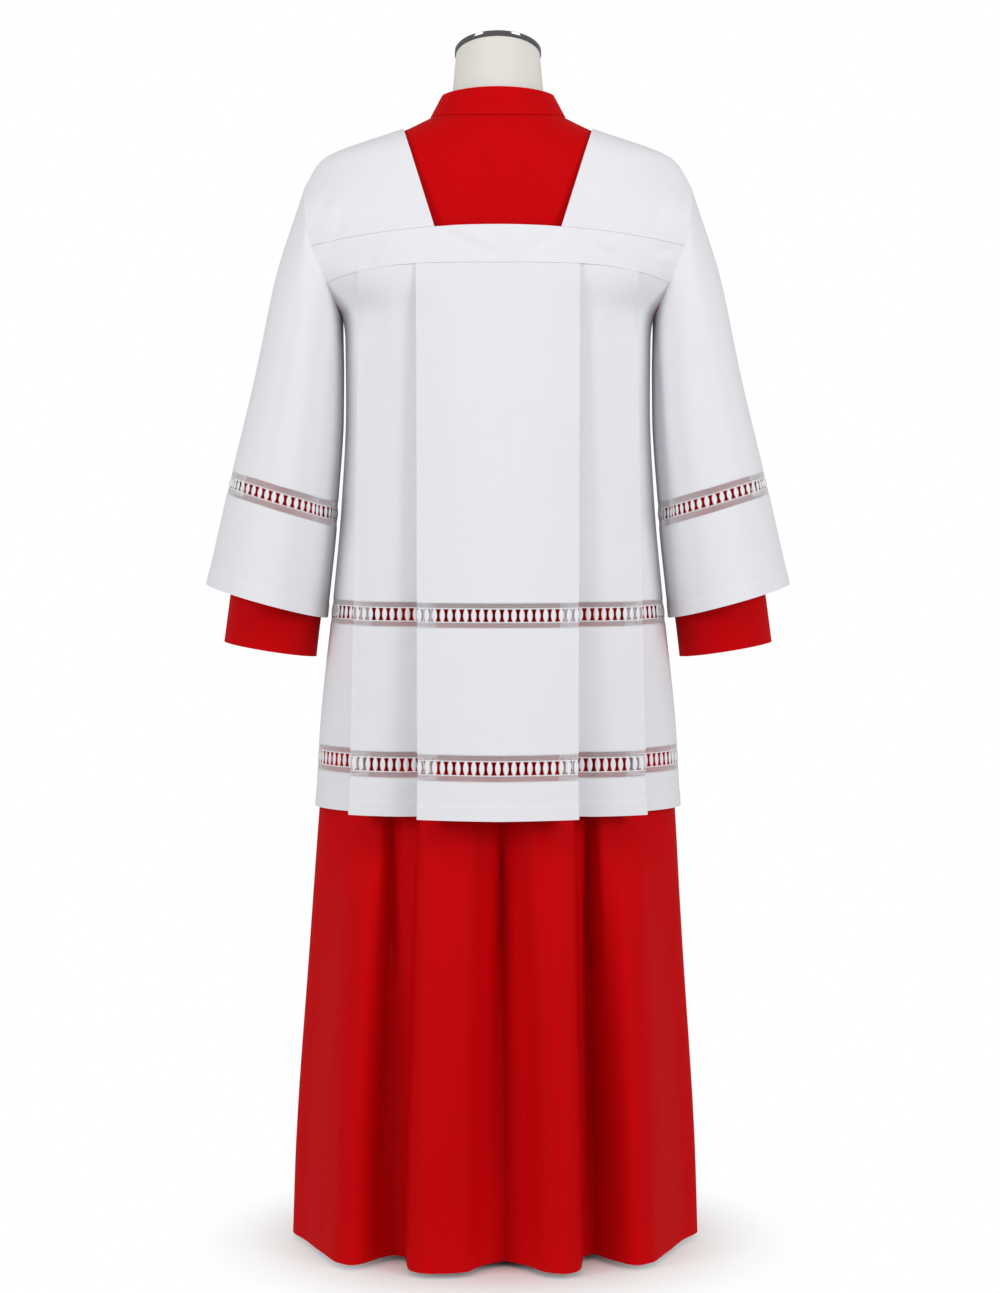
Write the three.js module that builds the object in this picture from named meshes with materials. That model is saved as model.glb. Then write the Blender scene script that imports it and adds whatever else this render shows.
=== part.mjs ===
// An altar server robe on a limbless dress form: a red cassock under a white surplice with lace
// insertions. Millimetres, +Z up, the wearer faces -Y, and the origin is the middle of the base on
// the floor. Every cloth piece is a thin wall about the middle surface worked out below.
import * as THREE from "three";

// ---------------------------------------------------------------- driving dimensions
const CASSOCK_WALL = 1.5;
const SURPLICE_WALL = 1.2;
const SEAM = 0.3; // gap between two pieces that are sewn together

const RED = { color: 0xc80410, roughness: 0.75, metalness: 0 };
const WHITE = { color: 0xeceef2, roughness: 0.8, metalness: 0 };
const LACE_WHITE = { color: 0xf2f2f5, roughness: 0.85, metalness: 0 };
const IVORY = { color: 0xe6e3da, roughness: 0.85, metalness: 0 };
const CHROME = { color: 0xd8d8dc, roughness: 0.12, metalness: 1 };
const STEEL = { color: 0x8c8e92, roughness: 0.4, metalness: 0.8 };

// ---------------------------------------------------------------- sections by height
// half: half width at the sides, back and front: depth at the centre line, power: squareness.
// Over the armholes the half width is the one that the section would have without them.
const CASSOCK_SECTIONS = [
  { z: 1402.5, half: 83, back: 68, front: 66, power: 2 },
  { z: 1386.3, half: 117, back: 76, front: 74, power: 2 },
  { z: 1349.2, half: 214, back: 92, front: 90, power: 2 },
  { z: 1331, half: 227, back: 97, front: 96, power: 2 },
  { z: 1313, half: 235, back: 101, front: 101, power: 2 },
  { z: 1262, half: 274, back: 106, front: 108, power: 2.1 },
  { z: 1225, half: 256, back: 108, front: 110, power: 2.2 },
  { z: 1188, half: 180, back: 108, front: 110, power: 2.3 },
  { z: 1150, half: 175, back: 107, front: 109, power: 2.3 },
  { z: 1050, half: 174, back: 107, front: 107, power: 2.2 },
  { z: 920, half: 181, back: 112, front: 111, power: 2.1 },
  { z: 805, half: 196, back: 117, front: 116, power: 2.1 },
  { z: 650, half: 214.5, back: 122, front: 121, power: 2 },
  { z: 549, half: 223, back: 124, front: 124, power: 2 },
  { z: 375, half: 236, back: 134, front: 134, power: 2 },
  { z: 116, half: 254.5, back: 146, front: 146, power: 2 },
  { z: 7, half: 258.5, back: 150, front: 150, power: 2 },
];
const SHOULDER_TIP_Z = 1313; // no shoulder's ridge lies lower
const CASSOCK_ARMHOLE = [
  { z: 1313, x: 235 },
  { z: 1290, x: 233 },
  { z: 1255, x: 224 },
  { z: 1220, x: 203 },
  { z: 1188, x: 180 },
];
const CASSOCK_ROWS = [1188, 1020, 840, 680, 549, 430, 290, 150, 7];
const UPPER_SHARES = [0, 0.1, 0.28, 0.52, 0.78, 1]; // rows between the shoulder and the armpit

// The flutes of the skirt at the hem, side seam to centre. left and right: how far out each point
// lies on the wearer's left and right.
const HEM_BACK = [
  { left: 258.5, right: 251.5, y: 0 },
  { left: 240, right: 230, y: 45 },
  { left: 216, right: 207, y: 103 },
  { left: 194, right: 186, y: 152 },
  { left: 176, right: 167, y: 164 },
  { left: 151, right: 142, y: 143 },
  { left: 126, right: 118, y: 117 },
  { left: 114, right: 105, y: 124 },
  { left: 106, right: 98, y: 186 },
  { left: 80, right: 80, y: 203 },
  { left: 42, right: 60, y: 197 },
  { left: 18, right: 34, y: 163 },
  { left: -9, right: 9, y: 143 },
];
const HEM_FRONT = [
  { left: 258.5, right: 251.5, y: 0 },
  { left: 241, right: 232, y: 44 },
  { left: 219, right: 211, y: 96 },
  { left: 198, right: 191, y: 137 },
  { left: 178, right: 174, y: 152 },
  { left: 156, right: 152, y: 146 },
  { left: 133, right: 130, y: 124 },
  { left: 112, right: 110, y: 152 },
  { left: 96, right: 94, y: 176 },
  { left: 76, right: 75, y: 184 },
  { left: 50, right: 50, y: 178 },
  { left: 24, right: 24, y: 172 },
  { left: 0, right: 0, y: 171 },
];
// The share of the flutes by height, near the middle and towards the side seams.
const FLUTE_SHARE = [
  { z: 900, middle: 0, side: 0 },
  { z: 700, middle: 0.15, side: 0 },
  { z: 549, middle: 0.33, side: 0.06 },
  { z: 430, middle: 0.66, side: 0.5 },
  { z: 290, middle: 0.84, side: 0.8 },
  { z: 150, middle: 0.94, side: 0.93 },
  { z: 7, middle: 1, side: 1 },
];
const SIDE_FROM = 0.5; // shares of the half width between which the middle goes over to the side
const SIDE_TO = 0.65;

const COLLAR = { base: 83, baseDepth: 68, top: 69, topDepth: 61, backZ: 1398, sideZ: 1402.5, rise: 35 };
const COLLAR_OPENING = 0.035; // share of each half turn left open at the centre front
const NECK_SHARE = 4 / 12; // share of a panel's top edge that lies along the neck seam
const PLACKET_HALF = 21;

// Sleeves: the outer and the inner point of each section in the plane of the shoulders, and the
// half depth from front to back. The first section is the armhole itself.
const CASSOCK_SLEEVE = [
  { outerX: 253, outerZ: 1262, innerX: 198, innerZ: 1163, halfDepth: 68 },
  { outerX: 271, outerZ: 1190, innerX: 202, innerZ: 1122, halfDepth: 70 },
  { outerX: 295, outerZ: 1072, innerX: 205, innerZ: 1028, halfDepth: 69 },
  { outerX: 318, outerZ: 925, innerX: 210, innerZ: 900, halfDepth: 66 },
  { outerX: 341.5, outerZ: 754, innerX: 228, innerZ: 735.5, halfDepth: 64 },
];

const SURPLICE_SECTIONS = [
  { z: 1388.6, half: 117, back: 80, front: 78, power: 2 },
  { z: 1351, half: 217, back: 97, front: 95, power: 2 },
  { z: 1334.5, half: 230, back: 102, front: 101, power: 2 },
  { z: 1318, half: 239, back: 107, front: 107, power: 2 },
  { z: 1262, half: 296, back: 115, front: 116, power: 2.1 },
  { z: 1212, half: 272, back: 120, front: 120, power: 2.2 },
  { z: 1157, half: 193, back: 122, front: 120, power: 2.3 },
  { z: 1130, half: 189.2, back: 122, front: 119, power: 2.3 },
  { z: 1050, half: 188.6, back: 123, front: 119, power: 2.2 },
  { z: 924, half: 194.6, back: 125, front: 121, power: 2.1 },
  { z: 805, half: 205.5, back: 128, front: 124, power: 2.1 },
  { z: 650, half: 222, back: 131, front: 129, power: 2 },
  { z: 549, half: 228, back: 132, front: 132, power: 2 },
];
const SURPLICE_ARMHOLE = [
  { z: 1318, x: 239 },
  { z: 1290, x: 237 },
  { z: 1248, x: 230 },
  { z: 1200, x: 211 },
  { z: 1157, x: 193 },
];
const SURPLICE_SLEEVE = [
  { outerX: 256, outerZ: 1272, innerX: 193, innerZ: 1128, halfDepth: 84 },
  { outerX: 277, outerZ: 1201, innerX: 192.5, innerZ: 1090, halfDepth: 90 },
  { outerX: 303, outerZ: 1082, innerX: 193, innerZ: 1030, halfDepth: 95 },
  { outerX: 331, outerZ: 968, innerX: 200, innerZ: 929, halfDepth: 100 },
  { outerX: 338, outerZ: 938, innerX: 202, innerZ: 896, halfDepth: 101 },
  { outerX: 363, outerZ: 826, innerX: 214, innerZ: 784, halfDepth: 105 },
];
const SLEEVE_LACE_TOP = 3; // row of SURPLICE_SLEEVE where the sleeve's lace begins
const SLEEVE_LACE_BOTTOM = 4;

// The square neckline and the two seams of the yoke band under it.
const NECKLINE = { ridgeX: 117, cornerX: 76.5 };
const YOKE_TOP = { z: 1262, fall: 16, at: 190, power: 2 };
const YOKE_BOTTOM = { z: 1215.6, fall: 9, at: 168, power: 4 };

// The body's pleats: each panel laps over the next one out, by TUCK, and stands forward of it.
const HEM_Z = 549;
const PRESSED_STEP = 3; // between two panels at the yoke, where the pleats are sewn flat
const PLEAT_GROWTH = 1.25;
const TUCK = 20;
const PLEATS = {
  back: {
    centre: { yokeX: 98, hemX: 94.5, edgeRise: 58, middleRise: 68 },
    side: { yokeX: 168, hemX: 179, edgeRise: 41, middleRise: 26 },
  },
  front: {
    centre: { yokeX: 98, hemX: 96, edgeRise: 50, middleRise: 58 },
    side: { yokeX: 168, hemX: 178, edgeRise: 34, middleRise: 23 },
  },
};
const FAR_STEPS = 4;
const SIDE_STEPS = 3;
const CENTRE_STEPS = 2;

const BODY_TOP_ROWS = [1157, 1040, 808]; // from the armpit to the upper lace
const LACE_UPPER = { top: 808, bottom: 777 };
const LACE_LOWER = { top: 627.5, bottom: 595 };

// One repeat of the lace: a spindle between two plain rails, narrow at its ends and wide in the
// middle, so that the gap beside it is an hourglass. Rails and spindle are shares of the height.
const REPEAT = { pitch: 9.8, endHalf: 1.25, middleHalf: 4, railTop: 0.235, railBottom: 0.765 };
const REPEATS_PER_EDGE = 4; // spindles for each stretch of the band's straight outer edge
const END_GAP = 2; // narrowest cloth-free width between a plain stretch and the first spindle
const CUT_MARGIN = 3; // plain cloth kept beside a seam or a pleat's fold
const SLEEVE_CUT = 0.76; // share of each half of the sleeve, from its outer edge, that is cut

// The dress form: a plain torso cut off at the shoulders, under the cassock's own sections.
const FORM_SECTIONS = [
  { z: 1439, half: 56, back: 55, front: 55, power: 2, tilt: 0 },
  { z: 1408, half: 61, back: 59, front: 58, power: 2, tilt: 0 },
  { z: 1400, half: 74, back: 60, front: 59, power: 2, tilt: 0 },
  { z: 1395, half: 88, back: 60, front: 58, power: 1.6, tilt: 0 },
  { z: 1385, half: 113, back: 66, front: 64, power: 1.45, tilt: 0 },
  { z: 1351, half: 203, back: 82, front: 80, power: 1.45, tilt: 0 },
  { z: 1325, half: 213, back: 90, front: 88, power: 2, tilt: 0 },
  { z: 1255, half: 203, back: 99, front: 99, power: 2.4, tilt: 0 },
  { z: 1188, half: 170, back: 100, front: 102, power: 2.4, tilt: 0 },
  { z: 1030, half: 152, back: 94, front: 94, power: 2.2, tilt: 0 },
  { z: 920, half: 164, back: 103, front: 98, power: 2.1, tilt: 0 },
  { z: 820, half: 172, back: 108, front: 100, power: 2.1, tilt: 0 },
  { z: 752, half: 168, back: 104, front: 98, power: 2.1, tilt: 0 },
  { z: 735, half: 150, back: 92, front: 86, power: 2.1, tilt: 0 },
];
const NECK_TOP = { z: 1479.5, half: 52, back: 54, front: 54, power: 2, tilt: 0.3 };
const CAP = { half: 53.5, depth: 55.5, height: 6.7, round: 1, crown: 2.5, gap: 0.3 };
const FORM_SIDES = 20;
const POLE = { radius: 16, bottom: 10.3, top: 734.7 };
const BASE = { radius: 115, height: 10, edge: 2 };

// ---------------------------------------------------------------- reading the tables
const mix = (a, b, share) => a + (b - a) * share;

// A column of a table at height z, smooth between its rows and never past them.
function atHeight(rows, column, z) {
  const last = rows.length - 1;
  if (z >= rows[0].z) return rows[0][column];
  if (z <= rows[last].z) return rows[last][column];
  const i = rows.findIndex((row, k) => k < last && rows[k + 1].z <= z);
  const slope = (k) => (rows[k + 1][column] - rows[k][column]) / (rows[k + 1].z - rows[k].z);
  const tangent = (k) => {
    if (k === 0) return slope(0);
    if (k === last) return slope(last - 1);
    const [above, below] = [slope(k - 1), slope(k)];
    return above * below <= 0 ? 0 : (2 * above * below) / (above + below);
  };
  const span = rows[i + 1].z - rows[i].z;
  const t = (z - rows[i].z) / span;
  return (
    rows[i][column] * (2 * t ** 3 - 3 * t ** 2 + 1) +
    tangent(i) * span * (t ** 3 - 2 * t ** 2 + t) +
    rows[i + 1][column] * (3 * t ** 2 - 2 * t ** 3) +
    tangent(i + 1) * span * (t ** 3 - t ** 2)
  );
}

// How far the garment stands from the shoulder plane at (x, z), on its back or front.
function depthAt(sections, side, x, z) {
  const half = atHeight(sections, "half", z);
  const power = atHeight(sections, "power", z);
  const share = Math.min(1, Math.abs(x) / half);
  return atHeight(sections, side, z) * (1 - share ** power) ** (1 / power);
}

// Height of the shoulder's ridge at x: where the section is just as wide as x.
function ridgeHeight(sections, x) {
  let [low, high] = [SHOULDER_TIP_Z, sections[0].z];
  for (let i = 0; i < 40; i++) {
    const z = (low + high) / 2;
    if (atHeight(sections, "half", z) > x) low = z;
    else high = z;
  }
  return (low + high) / 2;
}

const seamHeight = (seam, x) => seam.z - seam.fall * (Math.abs(x) / seam.at) ** seam.power;
const facing = { back: 1, front: -1 };
const SIDES = { left: 1, right: -1 };

// ---------------------------------------------------------------- walls
// A sheet is a list of middle points and faces; loop is true for a tube. The wall stands half its
// thickness to either side, along each point's normal, mitred where the sheet is folded.
function gridFaces(rows, columns, loop) {
  const faces = [];
  const across = loop ? columns : columns - 1;
  for (let r = 0; r + 1 < rows; r++) {
    for (let c = 0; c < across; c++) {
      const next = (c + 1) % columns;
      const [here, below] = [r * columns, (r + 1) * columns];
      faces.push([here + c, here + next, below + next, below + c]);
    }
  }
  return faces;
}

function faceNormal(points, face) {
  const normal = new THREE.Vector3();
  for (let i = 0; i < face.length; i++) {
    const a = points[face[i]];
    const b = points[face[(i + 1) % face.length]];
    normal.x += (a.y - b.y) * (a.z + b.z);
    normal.y += (a.z - b.z) * (a.x + b.x);
    normal.z += (a.x - b.x) * (a.y + b.y);
  }
  return normal.normalize();
}

function mitredNormals(points, faces, upright) {
  const around = points.map(() => []);
  for (const face of faces) {
    const normal = faceNormal(points, face);
    for (const i of face) around[i].push(normal);
  }
  return points.map((point, i) => {
    const sum = new THREE.Vector3();
    for (const normal of around[i]) sum.add(normal);
    // On the seam plane and on the centre line the garment's other half mirrors this one.
    if (Math.abs(point.y) < SEAM) sum.y = 0;
    if (Math.abs(point.x) < SEAM) sum.x = 0;
    if (upright) sum.z = 0;
    sum.normalize();
    const least = Math.min(...around[i].map((normal) => normal.dot(sum)));
    return sum.divideScalar(Math.max(0.6, least));
  });
}

// Closes a sheet into a wall: outer faces, inner faces turned round, and a strip on every free edge.
function closeWall(outer, inner, faces) {
  const count = outer.length;
  const triangles = [];
  const edges = new Map();
  for (const face of faces) {
    for (let i = 1; i + 1 < face.length; i++) {
      triangles.push([face[0], face[i], face[i + 1]]);
      triangles.push([face[0] + count, face[i + 1] + count, face[i] + count]);
    }
    for (let i = 0; i < face.length; i++) {
      const [a, b] = [face[i], face[(i + 1) % face.length]];
      if (!edges.delete(b + "," + a)) edges.set(a + "," + b, [a, b]);
    }
  }
  for (const [a, b] of edges.values()) {
    triangles.push([b, a, a + count], [b, a + count, b + count]);
  }
  const geometry = new THREE.BufferGeometry().setFromPoints([...outer, ...inner]);
  geometry.setIndex(triangles.flat());
  geometry.computeVertexNormals();
  return geometry;
}

// A wall of the given thickness about a grid of middle points, row by row from the top. An upright
// one keeps every point at its own height. edge gives the two points of the wall at a row and column,
// and stretch the wall of some of its columns alone, drawn back from the seam to the next ones.
function wall(grid, thickness, upright = false) {
  const points = grid.flat();
  const columns = grid[0].length;
  const faces = gridFaces(grid.length, columns, false);
  const normals = mitredNormals(points, faces, upright);
  const shifted = (sign) =>
    points.map((point, i) => point.clone().addScaledVector(normals[i], (sign * thickness) / 2));
  const [outer, inner] = [shifted(1), shifted(-1)];
  const edge = (row, column) => {
    const i = row * columns + (column < 0 ? columns + column : column);
    return { outer: outer[i], inner: inner[i] };
  };
  const stretch = (first, last) => {
    const drawnBack = (layer) =>
      grid.flatMap((row, r) =>
        row.slice(first, last + 1).map((_, k) => {
          const c = first + k;
          const here = layer[r * columns + c];
          const inward = (c === first && first > 0) - (c === last && last < columns - 1);
          if (inward === 0) return here;
          const step = row[c + inward].clone().sub(row[c]).setLength(SEAM);
          return here.clone().add(step);
        }),
      );
    const own = gridFaces(grid.length, last - first + 1, false);
    return closeWall(drawnBack(outer), drawnBack(inner), own);
  };
  return { geometry: closeWall(outer, inner, faces), edge, stretch };
}

// ---------------------------------------------------------------- assembling the group
const robe = new THREE.Group();

function add(name, geometry, finish) {
  const mesh = new THREE.Mesh(geometry, new THREE.MeshStandardMaterial(finish));
  mesh.name = name;
  robe.add(mesh);
}

// ---------------------------------------------------------------- cassock
// One half of a body panel, from the centre line out, as rows of points from neck to hem.
function cassockHalf(side, sign) {
  const hem = [...(side === "back" ? HEM_BACK : HEM_FRONT)].reverse();
  const last = hem.length - 1;
  const hemHalf = hem[last].left;
  const hand = sign > 0 ? "left" : "right";
  const neckColumn = Math.round(last * NECK_SHARE);
  const armpit = CASSOCK_ARMHOLE[CASSOCK_ARMHOLE.length - 1];
  const tip = CASSOCK_ARMHOLE[0];
  const neckDepth = atHeight(CASSOCK_SECTIONS, side, COLLAR.sideZ);
  const top = (c) => {
    if (c > neckColumn) {
      const x = mix(COLLAR.base, tip.x, (c - neckColumn) / (last - neckColumn));
      return { x, z: ridgeHeight(CASSOCK_SECTIONS, x), y: SEAM / 2 };
    }
    const turn = (Math.PI / 2) * (c / neckColumn);
    const y = Math.max(SEAM / 2, neckDepth * Math.cos(turn));
    const z = mix(COLLAR.backZ, COLLAR.sideZ, Math.sin(turn) ** 2);
    return { x: COLLAR.base * Math.sin(turn), y, z };
  };
  const place = (x, y, z) => {
    const apart = side === "front" ? Math.max(x, SEAM / 2) : x;
    return new THREE.Vector3(sign * apart, facing[side] * y, z);
  };
  const rows = [];
  for (const share of UPPER_SHARES) {
    const armZ = mix(tip.z, armpit.z, share);
    const armX = atHeight(CASSOCK_ARMHOLE, "x", armZ);
    const pull = armX - mix(tip.x, armpit.x, share);
    rows.push(
      hem.map((station, c) => {
        const start = top(c);
        if (share === 0) return place(start.x, start.y, start.z);
        const even = Math.max(0, station.left) / hemHalf;
        const x = mix(start.x, armpit.x * even, share) + (pull * c) / last;
        const z = mix(start.z, armpit.z, share);
        return place(x, Math.max(SEAM / 2, depthAt(CASSOCK_SECTIONS, side, x, z)), z);
      }),
    );
  }
  for (const z of CASSOCK_ROWS.slice(1)) {
    const half = atHeight(CASSOCK_SECTIONS, "half", z);
    const middle = atHeight(FLUTE_SHARE, "middle", z);
    const outer = atHeight(FLUTE_SHARE, "side", z);
    rows.push(
      hem.map((station) => {
        const even = Math.max(0, station.left) / hemHalf;
        const way = Math.min(1, Math.max(0, (even - SIDE_FROM) / (SIDE_TO - SIDE_FROM)));
        const plain = depthAt(CASSOCK_SECTIONS, side, half * even, z);
        const y = mix(plain, station.y, mix(middle, outer, way));
        const x = half * mix(even, station[hand] / hemHalf, middle);
        return place(x, Math.max(SEAM / 2, y), z);
      }),
    );
  }
  return rows;
}

const reversedRows = (rows) => rows.map((row) => [...row].reverse());

const backLeft = cassockHalf("back", 1);
const backRight = cassockHalf("back", -1);
const cassockBack = wall(
  backLeft.map((row, r) => [...[...backRight[r]].reverse(), ...row.slice(1)]),
  CASSOCK_WALL,
);
const frontRows = { left: cassockHalf("front", 1), right: cassockHalf("front", -1) };
const cassockFront = {
  left: wall(reversedRows(frontRows.left), CASSOCK_WALL),
  right: wall(frontRows.right, CASSOCK_WALL),
};
// Seams in the valleys beside the large flutes part the body into its panels.
const LAST = HEM_BACK.length - 1;
const SEAM_STATION = 6;
add("cassock_side_back_right", cassockBack.stretch(0, LAST - SEAM_STATION), RED);
add("cassock_back", cassockBack.stretch(LAST - SEAM_STATION, LAST + SEAM_STATION), RED);
add("cassock_side_back_left", cassockBack.stretch(LAST + SEAM_STATION, 2 * LAST), RED);
add("cassock_side_front_left", cassockFront.left.stretch(0, LAST - SEAM_STATION), RED);
add("cassock_front_left", cassockFront.left.stretch(LAST - SEAM_STATION, LAST), RED);
add("cassock_front_right", cassockFront.right.stretch(0, SEAM_STATION), RED);
add("cassock_side_front_right", cassockFront.right.stretch(SEAM_STATION, LAST), RED);

// The placket lies on the two fronts: their own points near the centre line, moved forward.
function placketRow(row) {
  const clear = CASSOCK_WALL + 4 * SEAM;
  const [centre, first, second] = row;
  const sign = Math.sign(centre.x);
  const on = (a, b, x) => a.clone().lerp(b, (x - Math.abs(a.x)) / (Math.abs(b.x) - Math.abs(a.x)));
  const narrow = Math.abs(first.x) < PLACKET_HALF;
  const middle = narrow ? first.clone() : on(centre, first, PLACKET_HALF / 2);
  const end = narrow ? on(first, second, PLACKET_HALF) : on(centre, first, PLACKET_HALF);
  const points = [centre.clone().setX(0), middle, end];
  for (const point of points) point.y -= clear;
  return sign > 0 ? points.reverse() : points;
}
const placket = frontRows.left.map((row, r) => [
  ...placketRow(row),
  ...placketRow(frontRows.right[r]).slice(1),
]);
add("cassock_placket", wall(placket, CASSOCK_WALL).geometry, RED);

// The collar stands on the neck seam and is open at the centre front.
const collarTurns = [];
for (let eighth = -8; eighth <= 8; eighth++) {
  const open = Math.abs(eighth) === 8 ? COLLAR_OPENING : 0;
  collarTurns.push((Math.PI / 8) * eighth * (1 - open));
}
const collarRows = [1, 0.5, 0].map((share) =>
  collarTurns.map((turn) => {
    const front = Math.abs(turn) > Math.PI / 2 + 0.01;
    const baseDepth = front ? atHeight(CASSOCK_SECTIONS, "front", COLLAR.sideZ) : COLLAR.baseDepth;
    const half = mix(COLLAR.base, COLLAR.top, share);
    const depth = mix(baseDepth, COLLAR.topDepth, share);
    const seam = mix(COLLAR.backZ, COLLAR.sideZ, Math.sin(turn) ** 2) + 3 * SEAM;
    const z = seam + share * COLLAR.rise;
    return new THREE.Vector3(half * Math.sin(turn), depth * Math.cos(turn), z);
  }),
);
add("cassock_collar", wall(collarRows, CASSOCK_WALL).geometry, RED);

// ---------------------------------------------------------------- sleeves
const between = (a, b, share) => ({
  outer: a.outer.clone().lerp(b.outer, share),
  inner: a.inner.clone().lerp(b.inner, share),
});

// The armhole as a loop of wall edges, shoulder tip, back, armpit, front, with a point added halfway.
function armholeLoop(backEdges, frontEdges) {
  const tip = between(backEdges[0], frontEdges[0], 0.5);
  const armpit = between(backEdges.at(-1), frontEdges.at(-1), 0.5);
  const loop = [tip, ...backEdges.slice(1, -1), armpit, ...frontEdges.slice(1, -1).reverse()];
  return loop.flatMap((edge, i) => [edge, between(edge, loop[(i + 1) % loop.length], 0.5)]);
}

// A point of a sleeve's section: turn 0 is its outer edge and a quarter turn its back.
function sleevePoint(section, sign, turn, grow) {
  const outer = new THREE.Vector3(section.outerX, 0, section.outerZ);
  const inner = new THREE.Vector3(section.innerX, 0, section.innerZ);
  const middle = outer.clone().lerp(inner, 0.5);
  const reach = outer.sub(middle);
  reach.setLength(reach.length() + grow);
  const point = middle.addScaledVector(reach, Math.cos(turn));
  point.y = (section.halfDepth + grow) * Math.sin(turn);
  point.x *= sign;
  return point;
}

function ringOf(section, sign, count, thickness) {
  const turns = Array.from({ length: count }, (_, k) => (2 * Math.PI * k) / count);
  return turns.map((turn) => ({
    outer: sleevePoint(section, sign, turn, thickness / 2),
    inner: sleevePoint(section, sign, turn, -thickness / 2),
  }));
}

// Moves a sleeve's section along the line to its neighbour, to leave the seam open.
function shiftedSection(section, neighbour, distance) {
  const middle = (s) => new THREE.Vector3((s.outerX + s.innerX) / 2, 0, (s.outerZ + s.innerZ) / 2);
  const step = middle(neighbour).sub(middle(section)).setLength(distance);
  return {
    outerX: section.outerX + step.x,
    outerZ: section.outerZ + step.z,
    innerX: section.innerX + step.x,
    innerZ: section.innerZ + step.z,
    halfDepth: section.halfDepth,
  };
}

// A tube through rings of wall edges. On the wearer's left the rings turn the other way round.
function tube(rings, sign) {
  const points = rings.flat();
  let faces = gridFaces(rings.length, rings[0].length, true);
  if (sign > 0) faces = faces.map((face) => [...face].reverse());
  return closeWall(
    points.map((edge) => edge.outer),
    points.map((edge) => edge.inner),
    faces,
  );
}

function sleeveRings(loop, sections, sign, thickness) {
  const rings = sections.map((section) => ringOf(section, sign, loop.length, thickness));
  const start = loop.map((edge, k) => {
    const away = rings[0][k].outer.clone().sub(edge.outer).setLength(1.5 * SEAM);
    return { outer: edge.outer.clone().add(away), inner: edge.inner.clone().add(away) };
  });
  return [start, ...rings];
}

for (const [name, sign] of Object.entries(SIDES)) {
  const rows = UPPER_SHARES.map((_, r) => r);
  const backEdges = rows.map((r) => cassockBack.edge(r, sign > 0 ? -1 : 0));
  const frontEdges = rows.map((r) => cassockFront[name].edge(r, sign > 0 ? 0 : -1));
  const loop = armholeLoop(backEdges, frontEdges);
  add("cassock_sleeve_" + name, tube(sleeveRings(loop, CASSOCK_SLEEVE, sign, CASSOCK_WALL), sign), RED);
}

// ---------------------------------------------------------------- surplice, shoulders and yoke
const armholeX = (z) => atHeight(SURPLICE_ARMHOLE, "x", z);

// Where a seam's curve meets the armhole.
function seamEnd(seam) {
  let z = seam.z;
  for (let i = 0; i < 30; i++) z = mix(z, seamHeight(seam, armholeX(z)), 0.5);
  return { x: armholeX(z), z };
}

// The yoke swells towards its lower seam, to meet the pleats that are sewn flat into it.
function yokeSwell(x, share) {
  const out = THREE.MathUtils.smoothstep(Math.abs(x), 60, 185);
  return 2 * PRESSED_STEP * share * (1 - out);
}

const SHOULDER_SHARES = [0, 0.12, 0.45, 1];
const SHOULDER_COLUMNS = 6;

function shoulderRow(side, sign, share) {
  const tip = SURPLICE_ARMHOLE[0];
  const end = seamEnd(YOKE_TOP);
  const armZ = mix(tip.z, end.z, share);
  const pull = armholeX(armZ) - mix(tip.x, end.x, share);
  return Array.from({ length: SHOULDER_COLUMNS }, (_, c) => {
    const across = c / (SHOULDER_COLUMNS - 1);
    const ridgeX = mix(NECKLINE.ridgeX, tip.x, across);
    const seamX = mix(NECKLINE.cornerX, end.x, across);
    const x = mix(ridgeX, seamX, share) + pull * across;
    const ridgeZ = ridgeHeight(SURPLICE_SECTIONS, ridgeX);
    const z = mix(ridgeZ, seamHeight(YOKE_TOP, seamX) + SEAM / 2, share);
    const y = share === 0 ? 0 : depthAt(SURPLICE_SECTIONS, side, x, z);
    return new THREE.Vector3(sign * x, facing[side] * y, z);
  });
}

const shoulders = {};
for (const [name, sign] of Object.entries(SIDES)) {
  const rows = [
    ...SHOULDER_SHARES.slice(1).map((share) => shoulderRow("back", sign, share)).reverse(),
    ...SHOULDER_SHARES.map((share) => shoulderRow("front", sign, share)),
  ];
  shoulders[name] = wall(sign > 0 ? reversedRows(rows) : rows, SURPLICE_WALL);
  add("surplice_shoulder_" + name, shoulders[name].geometry, WHITE);
}

const YOKE_COLUMNS = 17;
const YOKE_SHARES = [0, 0.5, 1];

function yokeGrid(side) {
  const top = seamEnd(YOKE_TOP);
  const bottom = seamEnd(YOKE_BOTTOM);
  return YOKE_SHARES.map((share) => {
    const armZ = mix(top.z, bottom.z, share);
    return Array.from({ length: YOKE_COLUMNS }, (_, c) => {
      const across = (2 * c) / (YOKE_COLUMNS - 1) - 1;
      const x = armholeX(armZ) * across;
      const upper = seamHeight(YOKE_TOP, x) - SEAM / 2;
      const lower = seamHeight(YOKE_BOTTOM, x) + SEAM / 2;
      const z = mix(upper, lower, share);
      const y = depthAt(SURPLICE_SECTIONS, side, x, z) + yokeSwell(x, share);
      return new THREE.Vector3(facing[side] * x, facing[side] * y, z);
    });
  });
}

const yokes = {};
for (const side of ["back", "front"]) {
  yokes[side] = wall(yokeGrid(side), SURPLICE_WALL);
  add("surplice_yoke_" + side, yokes[side].geometry, WHITE);
}

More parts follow.
